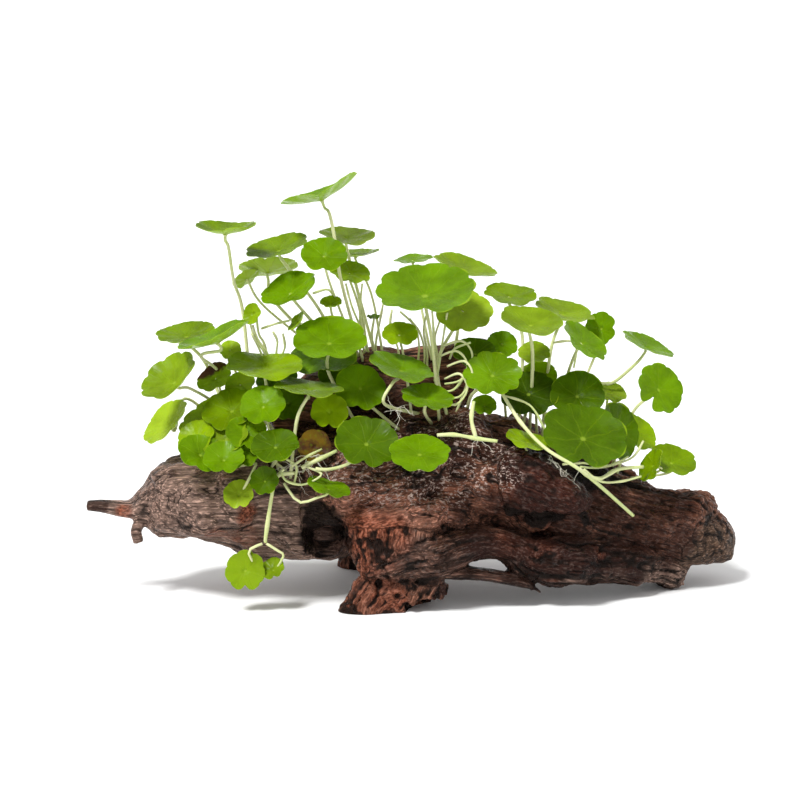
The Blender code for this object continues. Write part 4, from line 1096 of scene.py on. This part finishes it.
def build_driftwood(settings):
    """Grows the limbs together, carves their grain and parts them again at their solids' forks."""
    places, normals, corners = mesh_arrays(grown_together(settings.cell))
    inside = {name: near(places, spots, PATCH_SEED + k) for k, (name, spots) in enumerate(PATCHES.items())}
    shapes = shapes_of_wood()
    reaches, grains, heights, shades, tones = [], [], [], [], []
    for name, _, limb in shapes:
        grain, reach, thickness = along(spine_of(limb), places)
        height, shade = carving(limb, grain, places)
        heights.append(height * np.clip(thickness / FULL_GRAIN, 0.0, 1.0))
        shades.append(shade)
        reaches.append(reach)
        grains.append(grain)
        tones.append(tuple(getattr(settings, WOOD_TONES[name])))
    reaches = np.array(reaches)
    nearest = reaches.argmin(0)
    felt = reaches.copy()
    felt[list(LIMBS).index("wood_front_foot")] += FOOT_YIELD * ramp_up(places[:, 2], *FOOT_TOP)
    closest = felt.argmin(0)
    weights = np.exp(-FORK_BLEND * (felt - felt.min(0)))
    weights /= weights.sum(0)
    height = (weights * np.array(heights)).sum(0) * settings.carving
    height *= ramp_up(places[:, 2], 0.0, FLOOR_FADE)
    height *= 1.0 - BROKEN_EASE * inside["worn"]
    shade = (weights * np.array(shades)).sum(0)
    tone = weights.T @ np.array(tones)
    grain = np.array(grains)[closest, np.arange(len(places))]
    straight = np.array([limb.grain is LONG_GRAIN for _, _, limb in shapes])[closest]
    straight |= inside["worn"] > 0.5
    grain[straight] = places[straight]
    # Marks: how open to the light each place lies, which sets the painted shade; how rotted it is; and how
    # dark from wetness and painted shade
    marks = np.column_stack((shade, inside["rotted"], inside["soaked_and_shaded"]))
    marks[:, 0] += PLANK_LIGHT * inside["plank"] + BROKEN_LIGHT * inside["worn"]
    # painted shade over the hollows and cracks and the wood under the leaves
    marks[:, 0] -= inside["hollow"]
    for patch, colour_name in PATCH_COLOURS.items():
        cover = inside[patch][:, None]
        tone = tone * (1.0 - cover) + np.array(getattr(settings, colour_name)) * cover
    carved = places + normals * height[:, None]
    carved[:, 2] = np.maximum(carved[:, 2], 0.0)
    shaded = carved_normals(carved, corners)
    owners = np.array([list(LIMBS).index(owner) for _, owner, _ in shapes])
    middles = carved[corners].mean(1)
    owner = owners[nearest[corners[:, 0]]]
    finish = wood_finish("driftwood", settings)
    # where the painted highlights of wet flecks lie
    gloss = np.repeat(inside["glossy"][:, None], 3, axis=1)
    layers = {"grain": grain, "mark": marks, "tone": tone, "gloss": gloss}
    trunk = list(LIMBS).index("wood_trunk")
    right = (owner == trunk) & (middles[:, 0] > RIGHT_FORK_X)
    for number, node in enumerate(LIMBS):
        choice = (owner == number) & ~right
        wood_piece(node, choice, carved, shaded, corners, layers, finish)
    wood_piece("wood_right_limb", right, carved, shaded, corners, layers, finish)


def carved_normals(places, corners):
    """Each vertex's normal over the whole skin, so that no seam shows between pieces."""
    a, b, c = (places[corners[:, k]] for k in range(3))
    across = np.cross(b - a, c - a)
    total = np.zeros_like(places)
    for k in range(3):
        for axis in range(3):
            total[:, axis] += np.bincount(corners[:, k], weights=across[:, axis], minlength=len(places))
    return total / np.maximum(np.linalg.norm(total, axis=1), 1e-12)[:, None]


WOOD_NODES = (*LIMBS, "wood_right_limb")


def wood_skin():
    """The driftwood's surface for rays and nearest places, in millimetres."""
    places, faces = [], []
    for node in WOOD_NODES:
        piece = bpy.data.objects.get(piece_name(node))
        if piece is None:
            raise RuntimeError("the driftwood has to be built first")
        start = len(places)
        places += [vert.co / MM for vert in piece.data.vertices]
        faces += [tuple(corner + start for corner in face.vertices) for face in piece.data.polygons]
    return BVHTree.FromPolygons(places, faces)


# Leaves


def blade_turn(leaf):
    """The turn from a level blade to the blade as it grew."""
    lean = Matrix.Rotation(math.radians(leaf.lean), 3, "X")
    roll = Matrix.Rotation(-math.radians(leaf.roll), 3, "Y")
    spin = Matrix.Rotation(math.radians(leaf.spin), 3, "Z")
    return roll @ lean @ spin


class Habit(NamedTuple):
    """How one blade differs from the next."""

    lobes: int
    lobe_depth: float
    notch: float
    drift: tuple  # (waves round the rim, share of the radius, phase) of its outline
    waves: tuple  # (waves round the rim, share of the width, phase) of its height


def habit_of(name, leaf, settings):
    """The habit that a leaf's name gives it by chance."""
    chance = random.Random(name)
    lobes = chance.choice(LOBE_COUNTS if leaf.width >= SMALL_BLADE else SMALL_LOBE_COUNTS)
    drift = tuple(
        (turns, chance.uniform(0.2, 1.0) * settings.unevenness / turns, chance.uniform(0, TURN))
        for turns in (1, 2, 3, 5)
    )
    waves = tuple(
        (turns, chance.uniform(0.3, 1.0) * settings.waviness, chance.uniform(0, TURN)) for turns in (2, 3, 4)
    )
    depth = settings.lobe_depth * chance.uniform(0.7, 1.3)
    return Habit(lobes, depth, max(leaf.notch, chance.choice(NOTCH_DEPTHS)), drift, waves)


def outline(angle, habit):
    """The reach of a blade's rim at an angle from its notch, where most rims reach 1."""
    lobe = abs(math.sin(0.5 * habit.lobes * angle)) ** LOBE_POWER
    tooth = abs(math.sin(1.5 * habit.lobes * angle)) ** TOOTH_POWER
    reach = 1.0 - habit.lobe_depth * (1.0 - lobe) - TOOTH_DEPTH * (1.0 - tooth)
    reach += sum(share * math.sin(turns * angle + phase) for turns, share, phase in habit.drift)
    gap = abs(angle) * habit.lobes / math.pi
    return reach - habit.notch * math.exp(-((gap / NOTCH_WIDTH) ** 2))


def blade(shape, leaf, habit, settings):
    """Adds the two faces and the rim of a blade to a shape."""
    turn = blade_turn(leaf)
    centre = seen(*leaf.at)
    half = 0.5 * leaf.width * sight_scale(leaf.at[1], leaf.at[2])
    angles = [2 * math.pi * (j + 0.5) / BLADE_SIDES - math.pi for j in range(BLADE_SIDES)]
    rims = [outline(angle, habit) for angle in angles]

    def point(share, angle, rim, side):
        reach = share * rim
        across, ahead = math.sin(angle) * reach, -math.cos(angle) * reach
        rise = share**2
        height = leaf.cup * (reach**2 - MIDDLE_SHARE) + leaf.fold * abs(across)
        wave = sum(part * math.sin(turns * angle + phase) for turns, part, phase in habit.waves)
        height += leaf.width * wave * rise * share
        height += 0.5 * settings.quilting * math.cos(habit.lobes * angle) * rise * RIM_QUILTING
        height -= settings.dimple * math.exp(-((share / DIMPLE_WIDTH) ** 2))
        thickness = settings.thickness / MM * (1.0 - RIM_THINNING * rise * rise)
        height += side * 0.5 * thickness
        place = centre + turn @ Vector((across * half, ahead * half, height))
        return place, (across, ahead, side * habit.lobes)

    made, marks, faces = [], [], []
    for side in (1, -1):
        start = len(made)
        rings = [(share, angle, rim) for share in BLADE_RINGS for angle, rim in zip(angles, rims)]
        for share, angle, rim in [(0.0, 0.0, 1.0), *rings]:
            place, mark = point(share, angle, rim, side)
            made.append(place)
            marks.append(mark)
        for j in range(BLADE_SIDES):
            after = (j + 1) % BLADE_SIDES
            first = [start, start + 1 + j, start + 1 + after]
            faces.append(first[::side])
            for ring in range(len(BLADE_RINGS) - 1):
                low = start + 1 + ring * BLADE_SIDES
                high = low + BLADE_SIDES
                faces.append([low + j, high + j, high + after, low + after][::side])
    half_count = len(made) // 2
    top_rim = half_count - BLADE_SIDES
    for j in range(BLADE_SIDES):
        after = (j + 1) % BLADE_SIDES
        upper, next_upper = top_rim + j, top_rim + after
        faces.append((upper, upper + half_count, next_upper + half_count, next_upper))
    shape.add(made, faces, marks, 0)


def stem(shape, points, radii, finish=0):
    """Adds a closed round stem along points to a shape, with its first mark running from 0 to 1."""
    last = len(points) - 1
    tangent = (points[1] - points[0]).normalized()
    side = tangent.orthogonal().normalized()
    made, marks, faces = [points[0]], [(0, 0, 0)], []
    for k, point in enumerate(points):
        tangent = (points[min(k + 1, last)] - points[max(k - 1, 0)]).normalized()
        side = (side - tangent * side.dot(tangent)).normalized()
        over = tangent.cross(side)
        for j in range(TUBE_SIDES):
            angle = 2 * math.pi * j / TUBE_SIDES
            made.append(point + (side * math.cos(angle) + over * math.sin(angle)) * radii[k])
            marks.append((k / last, 0, 0))
    made.append(points[-1])
    marks.append((1, 0, 0))
    for j in range(TUBE_SIDES):
        after = (j + 1) % TUBE_SIDES
        faces.append((0, 1 + after, 1 + j))
        for k in range(last):
            low = 1 + k * TUBE_SIDES
            high = low + TUBE_SIDES
            faces.append((low + j, low + after, high + after, high + j))
        end = 1 + last * TUBE_SIDES
        faces.append((end + j, end + after, len(made) - 1))
    shape.add(made, faces, marks, finish)


def foot_place(leaf, skin):
    """Where a leaf's stalk starts, inside the wood or at the end of another stem."""
    if not isinstance(leaf.foot[0], str):
        return seen(*leaf.foot)
    x, y = CROWNS[leaf.foot[0]]
    number = leaf.foot[1]
    row = FOOT_ROW if number % 2 else -FOOT_ROW
    top = Vector((x + FOOT_SPACING * number, y + row, ABOVE_ALL))
    hit = skin.ray_cast(top, Vector((0, 0, -1)))[0]
    return hit - Vector((0, 0, FOOT_DEPTH))


def stalk_points(leaf, foot, dimple):
    """Points along a leaf's stalk, from the bottom of its blade's dimple to its foot."""
    turn = blade_turn(leaf)
    joint = seen(*leaf.at) - turn @ Vector((0, 0, MIDDLE_SHARE * leaf.cup + dimple))
    share = ROUTED_LEAD if leaf.route else STALK_LEAD
    lead = joint - turn @ Vector((0, 0, share * leaf.width))
    corners = [joint, lead, *(seen(*place) for place in leaf.route), foot]
    length = sum((b - a).length for a, b in zip(corners, corners[1:]))
    return smooth(corners, max(10, round(length / STALK_STEP)))


def build_leaf(name, leaf, skin, settings, stems):
    """One leaf as one piece: its blade and its stalk."""
    chance = random.Random(name + " stalk")
    shape = Shape()
    blade(shape, leaf, habit_of(name, leaf, settings), settings)
    points = stalk_points(leaf, foot_place(leaf, skin), settings.dimple)
    radius = STALK_RADIUS if leaf.width >= SMALL_BLADE else SMALL_STALK_RADIUS
    radius *= stems.stoutness
    phase = chance.uniform(0, TURN)
    radii = []
    for k in range(len(points)):
        share = k / (len(points) - 1)
        flare = JOINT_FLARE[0] * math.exp(-((share / JOINT_FLARE[1]) ** 2))
        taper = STALK_TAPER[0] + STALK_TAPER[1] * share
        radii.append(radius * (taper + flare + STEM_WAVER * math.sin(9 * share + phase)))
    stem(shape, points[::-1], radii[::-1], 1)
    finishes = (tone_finish(leaf.tone, settings), shared_finish("stem", stem_finish, stems))
    return shape.made(piece_name(name), finishes)


def shared_finish(name, maker, settings):
    """A material by name, made the first time that it is asked for."""
    return bpy.data.materials.get(name) or maker(name, settings)


def tone_finish(tone, settings):
    """The finish of blades of one tone."""
    if tone == "brown":
        return shared_finish("withered_leaf", brown_finish, settings)
    if tone == "scorched":
        return bpy.data.materials.get("scorched_leaf") or scorched_finish(settings)
    name = tone + "_leaf"
    if name in bpy.data.materials:
        return bpy.data.materials[name]
    colour = Vector(getattr(settings, tone))
    return leaf_finish(name, colour * settings.shade_share, colour, settings)


# Runners, loose stems and roots


def rooted(points, skin):
    """A stem's points, with an end that comes close to the wood led into it."""
    result = list(points)
    for end in (0, -1):
        place, normal, _, gap = skin.find_nearest(result[end])
        if place is not None and gap < ROOTING_GAP:
            sunk = place - normal * FOOT_DEPTH
            result.insert(0, sunk) if end == 0 else result.append(sunk)
    return result


def even_points(points, step=1.5):
    """Points about a step apart along a smooth line."""
    length = sum((b - a).length for a, b in zip(points, points[1:]))
    return smooth(points, max(6, round(length / step)))


def build_stems(name, routes, skin, stems, radius):
    """Several stems as one piece, each with two swollen knots."""
    shape = Shape()
    for number, route in enumerate(routes):
        chance = random.Random(name + str(number))
        points = even_points(rooted([seen(*place) for place in route], skin))
        knots = [chance.uniform(0.15, 0.35), chance.uniform(0.55, 0.8)]
        radii = []
        for k in range(len(points)):
            share = k / (len(points) - 1)
            gaps = [(share - knot) * len(points) / KNOT_SWELL[1] for knot in knots]
            swell = sum(KNOT_SWELL[0] * math.exp(-(gap**2)) for gap in gaps)
            waver = STEM_WAVER * math.sin(11 * share + number)
            radii.append(radius * stems.stoutness * (RUNNER_TAPER + swell + waver))
        stem(shape, points, radii)
    return shape.made(name, (shared_finish("runner", stem_finish, stems),))


def build_roots(name, tufts, skin, roots):
    """Fine roots that spread from a joint and cling to the wood."""
    shape = Shape()
    chance = random.Random(name)
    for across, up, back, width, count in tufts:
        middle = seen(across, up, back)
        for _ in range(round(count * roots.density)):
            strewn = Vector((chance.gauss(0, 0.4), chance.gauss(0, 0.3), chance.gauss(0, 0.25)))
            place = middle + strewn * width
            heading = Vector((chance.uniform(-1, 1), chance.uniform(-0.6, 0.4), chance.uniform(-1.2, 0.2)))
            points = []
            for _ in range(chance.randint(7, 14)):
                near_wood, normal, _, gap = skin.find_nearest(place)
                if gap < ROOT_CLING:
                    place = place.lerp(near_wood + normal * ROOT_LIFT, ROOT_PULL)
                points.append(place.copy())
                heading += Vector((chance.gauss(0, 0.5), chance.gauss(0, 0.4), chance.gauss(-0.08, 0.5)))
                place = place + heading.normalized() * ROOT_STEP
            thick = roots.radius / MM * chance.uniform(0.7, 1.3)
            points = even_points(points, ROOT_STRETCH)
            radii = [thick * (1.0 - ROOT_TAPER * k / len(points)) for k in range(len(points))]
            stem(shape, points, radii)
    return shape.made(name, (shared_finish("root_hair", root_finish, roots),))


# Settings


def number(name, description, default, **more):
    return FloatProperty(name=name, description=description, default=default, **more)


def length(name, description, default):
    return number(name, description, default, unit="LENGTH", precision=5, min=0.0)


def share(name, description, default, low=0.0, high=1.0):
    return number(name, description, default, min=low, max=high)


def colour(name, description, default):
    return FloatVectorProperty(
        name=name, description=description, default=default, subtype="COLOR", size=3, min=0.0, max=1.0
    )


class PENNYWORT_PG_wood(bpy.types.PropertyGroup):
    """Sizes and colours of the driftwood."""

    cell: length("Mesh cell", "Width of the cells of the driftwood's skin", 0.0007)
    carving: share("Carving", "How much of the grain's full depth is carved", 1.0, 0.0, 2.0)
    grey: colour("Left limb", "Greyish-brown wood of the left limb", (0.190, 0.120, 0.093))
    chocolate: colour("Trunk", "Dark wood of the trunk, foot and branch", (0.150, 0.062, 0.038))
    ribbed: colour("Low limb", "Ribbed brown wood of the low limb", (0.022, 0.009, 0.006))
    umber: colour("Worn ribs", "Brown ribs at the low limb's ends", (0.085, 0.042, 0.030))
    russet: colour("Plank", "Smooth red-brown plank in front", (0.235, 0.100, 0.066))
    maroon: colour("Burl", "Dark red wood of the burl on the front", (0.038, 0.008, 0.004))
    tan: colour("Worn end", "Lighter wood of the worn right end", (0.090, 0.053, 0.034))
    red_wood: colour("Rotted wood", "Red-brown crumbling wood", (0.33, 0.098, 0.050))
    red_dark: colour("Rotted wood, dark", "The same in its pits", (0.055, 0.014, 0.008))
    streak_share: share("Streak share", "How far the light fibres go to their own colour", 0.10)
    # Painted highlight: the colour of the light flecks that stand in for glints on the wet wood
    fleck_colour: colour("Wet flecks", "Light flecks on the wet wood", (0.52, 0.40, 0.35))
    streak_colour: colour("Streaks", "Light fibres on the ridges", (0.50, 0.36, 0.29))
    # Painted shade laid where a place lies out of the light, in furrows, pits, cracks and hollows; also the
    # darkest grain fibres
    crevice_colour: colour("Crevices", "Bottom of the furrows and hollows", (0.006, 0.004, 0.003))
    # Partly the colour of wet wood and partly painted shade under the leaves and in the cavity at the left
    wet_colour: colour("Wet wood", "Wood that is soaked through", (0.020, 0.0065, 0.0045))
    wet_roughness: share("Roughness, wet", "Roughness of the wettest wood", 0.16)
    dry_roughness: share("Roughness, dry", "Roughness of the driest wood", 0.55)


class PENNYWORT_PG_leaf(bpy.types.PropertyGroup):
    """Sizes and colours of the blades."""

    thickness: length("Thickness", "Thickness of a blade at its middle", 0.0005)
    lobe_depth: share("Lobe depth", "Depth of the dips between lobes, of the radius", 0.10)
    unevenness: share("Unevenness", "How far a blade's outline strays from round", 0.035)
    waviness: share("Waviness", "Height of a rim's waves, of the width", 0.02)
    quilting: number("Quilting", "Height of the blade between its veins, in mm", 0.35)
    dimple: number("Dimple", "Depth of the dimple over the stalk, in mm", 0.7)
    fresh: colour("Fresh", "Bright green blades", (0.116, 0.226, 0.001))
    olive: colour("Olive", "Yellower green blades", (0.132, 0.218, 0.001))
    dark: colour("Dark", "Old shaded blades", (0.062, 0.122, 0.001))
    pale: colour("Pale", "Grey-green blades seen from below", (0.175, 0.27, 0.006))
    lime: colour("Lime", "Young yellow-green blades", (0.20, 0.315, 0.002))
    shade_share: share("Shade", "Darkness of a blade's darker patches", 0.68)
    vein_share: share("Veins", "How strongly the veins show", 0.08)
    vein_colour: colour("Veins and rim", "Pale green of the veins and rim", (0.30, 0.42, 0.012))
    # Painted shade: a darker copy of the green, for blades deep in the plant where shade falls
    deep: colour("Deep", "Blades deep in the plant", (0.035, 0.070, 0.001))
    # Painted light: a brighter copy of the green, which lightens blades that lie in shade
    sunlit: colour("Sunlit", "Bleached blades at the top of a tuft", (0.27, 0.385, 0.015))
    spot_colour: colour("Spot", "Pale spot over the stalk", (0.34, 0.46, 0.05))
    under_colour: colour("Underside", "Greyer green of the underside", (0.40, 0.50, 0.09))
    withered_dark: colour("Withered, dark", "Brown patches of a dying blade", (0.050, 0.018, 0.006))
    withered_light: colour("Withered, light", "Amber patches of a dying blade", (0.13, 0.075, 0.004))
    wet_roughness: share("Roughness, wet", "Roughness of the wettest patches", 0.22)
    dry_roughness: share("Roughness, dry", "Roughness of the driest patches", 0.42)


class PENNYWORT_PG_stem(bpy.types.PropertyGroup):
    """Sizes and colours of the stalks, runners and loose stems."""

    stoutness: share("Stoutness", "Thickness of the stems, of their full size", 0.78, 0.2, 2.0)
    loop_radius: number("Loose stem radius", "Half thickness of the loose stems, in mm", 0.6)
    stem_low: colour("Foot", "Cream of a stalk's foot", (0.60, 0.62, 0.33))
    stem_high: colour("Top", "Green of a stalk's top", (0.50, 0.57, 0.23))
    stem_light: colour("Marks", "Pale length marks", (0.68, 0.70, 0.42))


class PENNYWORT_PG_root(bpy.types.PropertyGroup):
    """Sizes and colours of the fine roots."""

    density: share("Density", "Number of roots, of the number that grew", 1.0, 0.0, 3.0)
    radius: length("Radius", "Half thickness of a root", 0.00013)
    root_colour: colour("Young", "White of a young root", (0.78, 0.76, 0.66))
    root_brown: colour("Old", "Brown of an old root", (0.35, 0.24, 0.14))


class PENNYWORT_PG_stage(bpy.types.PropertyGroup):
    """The floor, the lights and the camera."""

    floor_colour: colour("Floor", "Plain pale floor", (0.93, 0.93, 0.93))
    sky: number("Sky", "Strength of the even light all round", 0.7)
    key: number("Key light", "Strength of the soft light from above the front", 3.5)
    key_angle: number("Key size", "How wide the key light is seen", math.radians(14.0), subtype="ANGLE")


# Operators


class PENNYWORT_OT_driftwood(bpy.types.Operator):
    """Builds the driftwood"""

    bl_idname = "pennywort.driftwood"
    bl_label = "Driftwood"

    def execute(self, context):
        build_driftwood(context.scene.pennywort_wood)
        return {"FINISHED"}


class PENNYWORT_OT_leaves(bpy.types.Operator):
    """Builds the leaves that have solids of their own"""

    bl_idname = "pennywort.leaves"
    bl_label = "Leaves"

    def execute(self, context):
        scene = context.scene
        skin = wood_skin()
        for node, leaf in LEAVES.items():
            piece = build_leaf(node, leaf, skin, scene.pennywort_leaf, scene.pennywort_stem)
            place_piece(piece, node)
        return {"FINISHED"}


class PENNYWORT_OT_small_leaves(bpy.types.Operator):
    """Builds the small and hidden leaves"""

    bl_idname = "pennywort.small_leaves"
    bl_label = "Small leaves"

    def execute(self, context):
        scene = context.scene
        skin = wood_skin()
        for name, leaf in SMALL_LEAVES.items():
            piece = build_leaf(name, leaf, skin, scene.pennywort_leaf, scene.pennywort_stem)
            place_extra(piece)
        return {"FINISHED"}


class PENNYWORT_OT_runners(bpy.types.Operator):
    """Builds the runners that have solids of their own"""

    bl_idname = "pennywort.runners"
    bl_label = "Runners"

    def execute(self, context):
        skin = wood_skin()
        stems = context.scene.pennywort_stem
        for node, routes in RUNNERS.items():
            place_piece(build_stems(piece_name(node), routes, skin, stems, RUNNER_RADIUS), node)
        return {"FINISHED"}


class PENNYWORT_OT_stems(bpy.types.Operator):
    """Builds the thin curled stems with no blade"""

    bl_idname = "pennywort.stems"
    bl_label = "Loose stems"

    def execute(self, context):
        skin = wood_skin()
        stems = context.scene.pennywort_stem
        for name, routes in LOOPS.items():
            place_extra(build_stems(name, routes, skin, stems, stems.loop_radius))
        return {"FINISHED"}


class PENNYWORT_OT_roots(bpy.types.Operator):
    """Builds the fine roots"""

    bl_idname = "pennywort.roots"
    bl_label = "Fine roots"

    def execute(self, context):
        skin = wood_skin()
        for name, tufts in ROOT_TUFTS.items():
            place_extra(build_roots(name, tufts, skin, context.scene.pennywort_root))
        return {"FINISHED"}


class PENNYWORT_OT_stage(bpy.types.Operator):
    """Sets up the floor, the lights and the camera"""

    bl_idname = "pennywort.stage"
    bl_label = "Stage"

    def execute(self, context):
        set_stage(context.scene)
        return {"FINISHED"}


def key_light(settings):
    """A soft light from far away, above the front left."""
    lamp = bpy.data.lights.new("key_light", "SUN")
    lamp.energy = settings.key
    lamp.angle = settings.key_angle
    made = new_piece("key_light", lamp)
    made.location = KEY_PLACE
    made.rotation_euler = Vector(KEY_PLACE).to_track_quat("Z", "Y").to_euler()
    return made


def build_floor(settings):
    """A wide pale disc with a low wall round it."""
    bm = bmesh.new()
    rim = bmesh.ops.create_circle(bm, cap_ends=True, segments=FLOOR_SIDES, radius=FLOOR_REACH)["verts"]
    edges = list({edge for vert in rim for edge in vert.link_edges})
    raised = bmesh.ops.extrude_edge_only(bm, edges=edges)["geom"]
    upper = [item for item in raised if isinstance(item, bmesh.types.BMVert)]
    bmesh.ops.translate(bm, verts=upper, vec=(0, 0, RIM_HEIGHT))
    mesh = bpy.data.meshes.new("floor")
    bm.to_mesh(mesh)
    bm.free()
    floor = new_piece("floor", mesh)
    finish, tree, shader = new_finish("floor")
    tint = speckle(tree, position(tree), 40.0)
    low = tuple(FLOOR_MOTTLE * part for part in settings.floor_colour)
    tree.links.new(mix(tree, tint, low, settings.floor_colour), shader.inputs["Base Color"])
    shader.inputs["Roughness"].default_value = 0.9
    mesh.materials.append(finish)
    return floor


def even_light(settings):
    """White light from all round."""
    world = bpy.data.worlds.new("studio")
    world.use_nodes = True
    sky = world.node_tree.nodes["Background"]
    sky.inputs["Color"].default_value = (1.0, 1.0, 1.0, 1.0)
    sky.inputs["Strength"].default_value = settings.sky
    return world


def front_camera():
    """A camera that looks along the line of sight of the front view."""
    lens = bpy.data.cameras.new("camera")
    lens.lens = CAMERA_LENS
    lens.sensor_width = CAMERA_SENSOR
    lens.shift_y = CAMERA_SHIFT
    camera = new_piece("camera", lens)
    camera.location = eye_point() * MM
    camera.rotation_euler = (math.radians(90.0) - SIGHT_ELEVATION, 0.0, 0.0)
    return camera


def set_stage(scene):
    """Sets the floor, the lights and the camera round the plant."""
    settings = scene.pennywort_stage
    build_floor(settings)
    scene.world = even_light(settings)
    key_light(settings)
    scene.camera = front_camera()
    scene.view_settings.view_transform = "Standard"


class PENNYWORT_PT_panel(bpy.types.Panel):
    """Lists the settings and the steps that build the plant"""

    bl_idname = "PENNYWORT_PT_panel"
    bl_label = "Pennywort on driftwood"
    bl_space_type = "VIEW_3D"
    bl_region_type = "UI"
    bl_category = "Pennywort"

    def draw(self, context):
        for name, group in GROUPS.items():
            box = self.layout.box()
            box.label(text=group.bl_rna.description or name)
            settings = getattr(context.scene, name)
            for key in group.__annotations__:
                box.prop(settings, key)
        for operator in OPERATORS:
            self.layout.operator(operator.bl_idname)


GROUPS = {
    "pennywort_wood": PENNYWORT_PG_wood,
    "pennywort_leaf": PENNYWORT_PG_leaf,
    "pennywort_stem": PENNYWORT_PG_stem,
    "pennywort_root": PENNYWORT_PG_root,
    "pennywort_stage": PENNYWORT_PG_stage,
}
OPERATORS = (
    PENNYWORT_OT_driftwood,
    PENNYWORT_OT_leaves,
    PENNYWORT_OT_small_leaves,
    PENNYWORT_OT_runners,
    PENNYWORT_OT_stems,
    PENNYWORT_OT_roots,
    PENNYWORT_OT_stage,
)


def register():
    for item in (*GROUPS.values(), *OPERATORS, PENNYWORT_PT_panel):
        bpy.utils.register_class(item)
    for name, group in GROUPS.items():
        setattr(bpy.types.Scene, name, PointerProperty(type=group))


def unregister():
    for name in GROUPS:
        delattr(bpy.types.Scene, name)
    for item in (PENNYWORT_PT_panel, *OPERATORS[::-1], *list(GROUPS.values())[::-1]):
        bpy.utils.unregister_class(item)


def main():
    register()
    bpy.ops.pennywort.driftwood()
    bpy.ops.pennywort.leaves()
    bpy.ops.pennywort.small_leaves()
    bpy.ops.pennywort.runners()
    bpy.ops.pennywort.stems()
    bpy.ops.pennywort.roots()
    bpy.ops.pennywort.stage()
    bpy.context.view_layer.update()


if __name__ == "__main__":
    main()
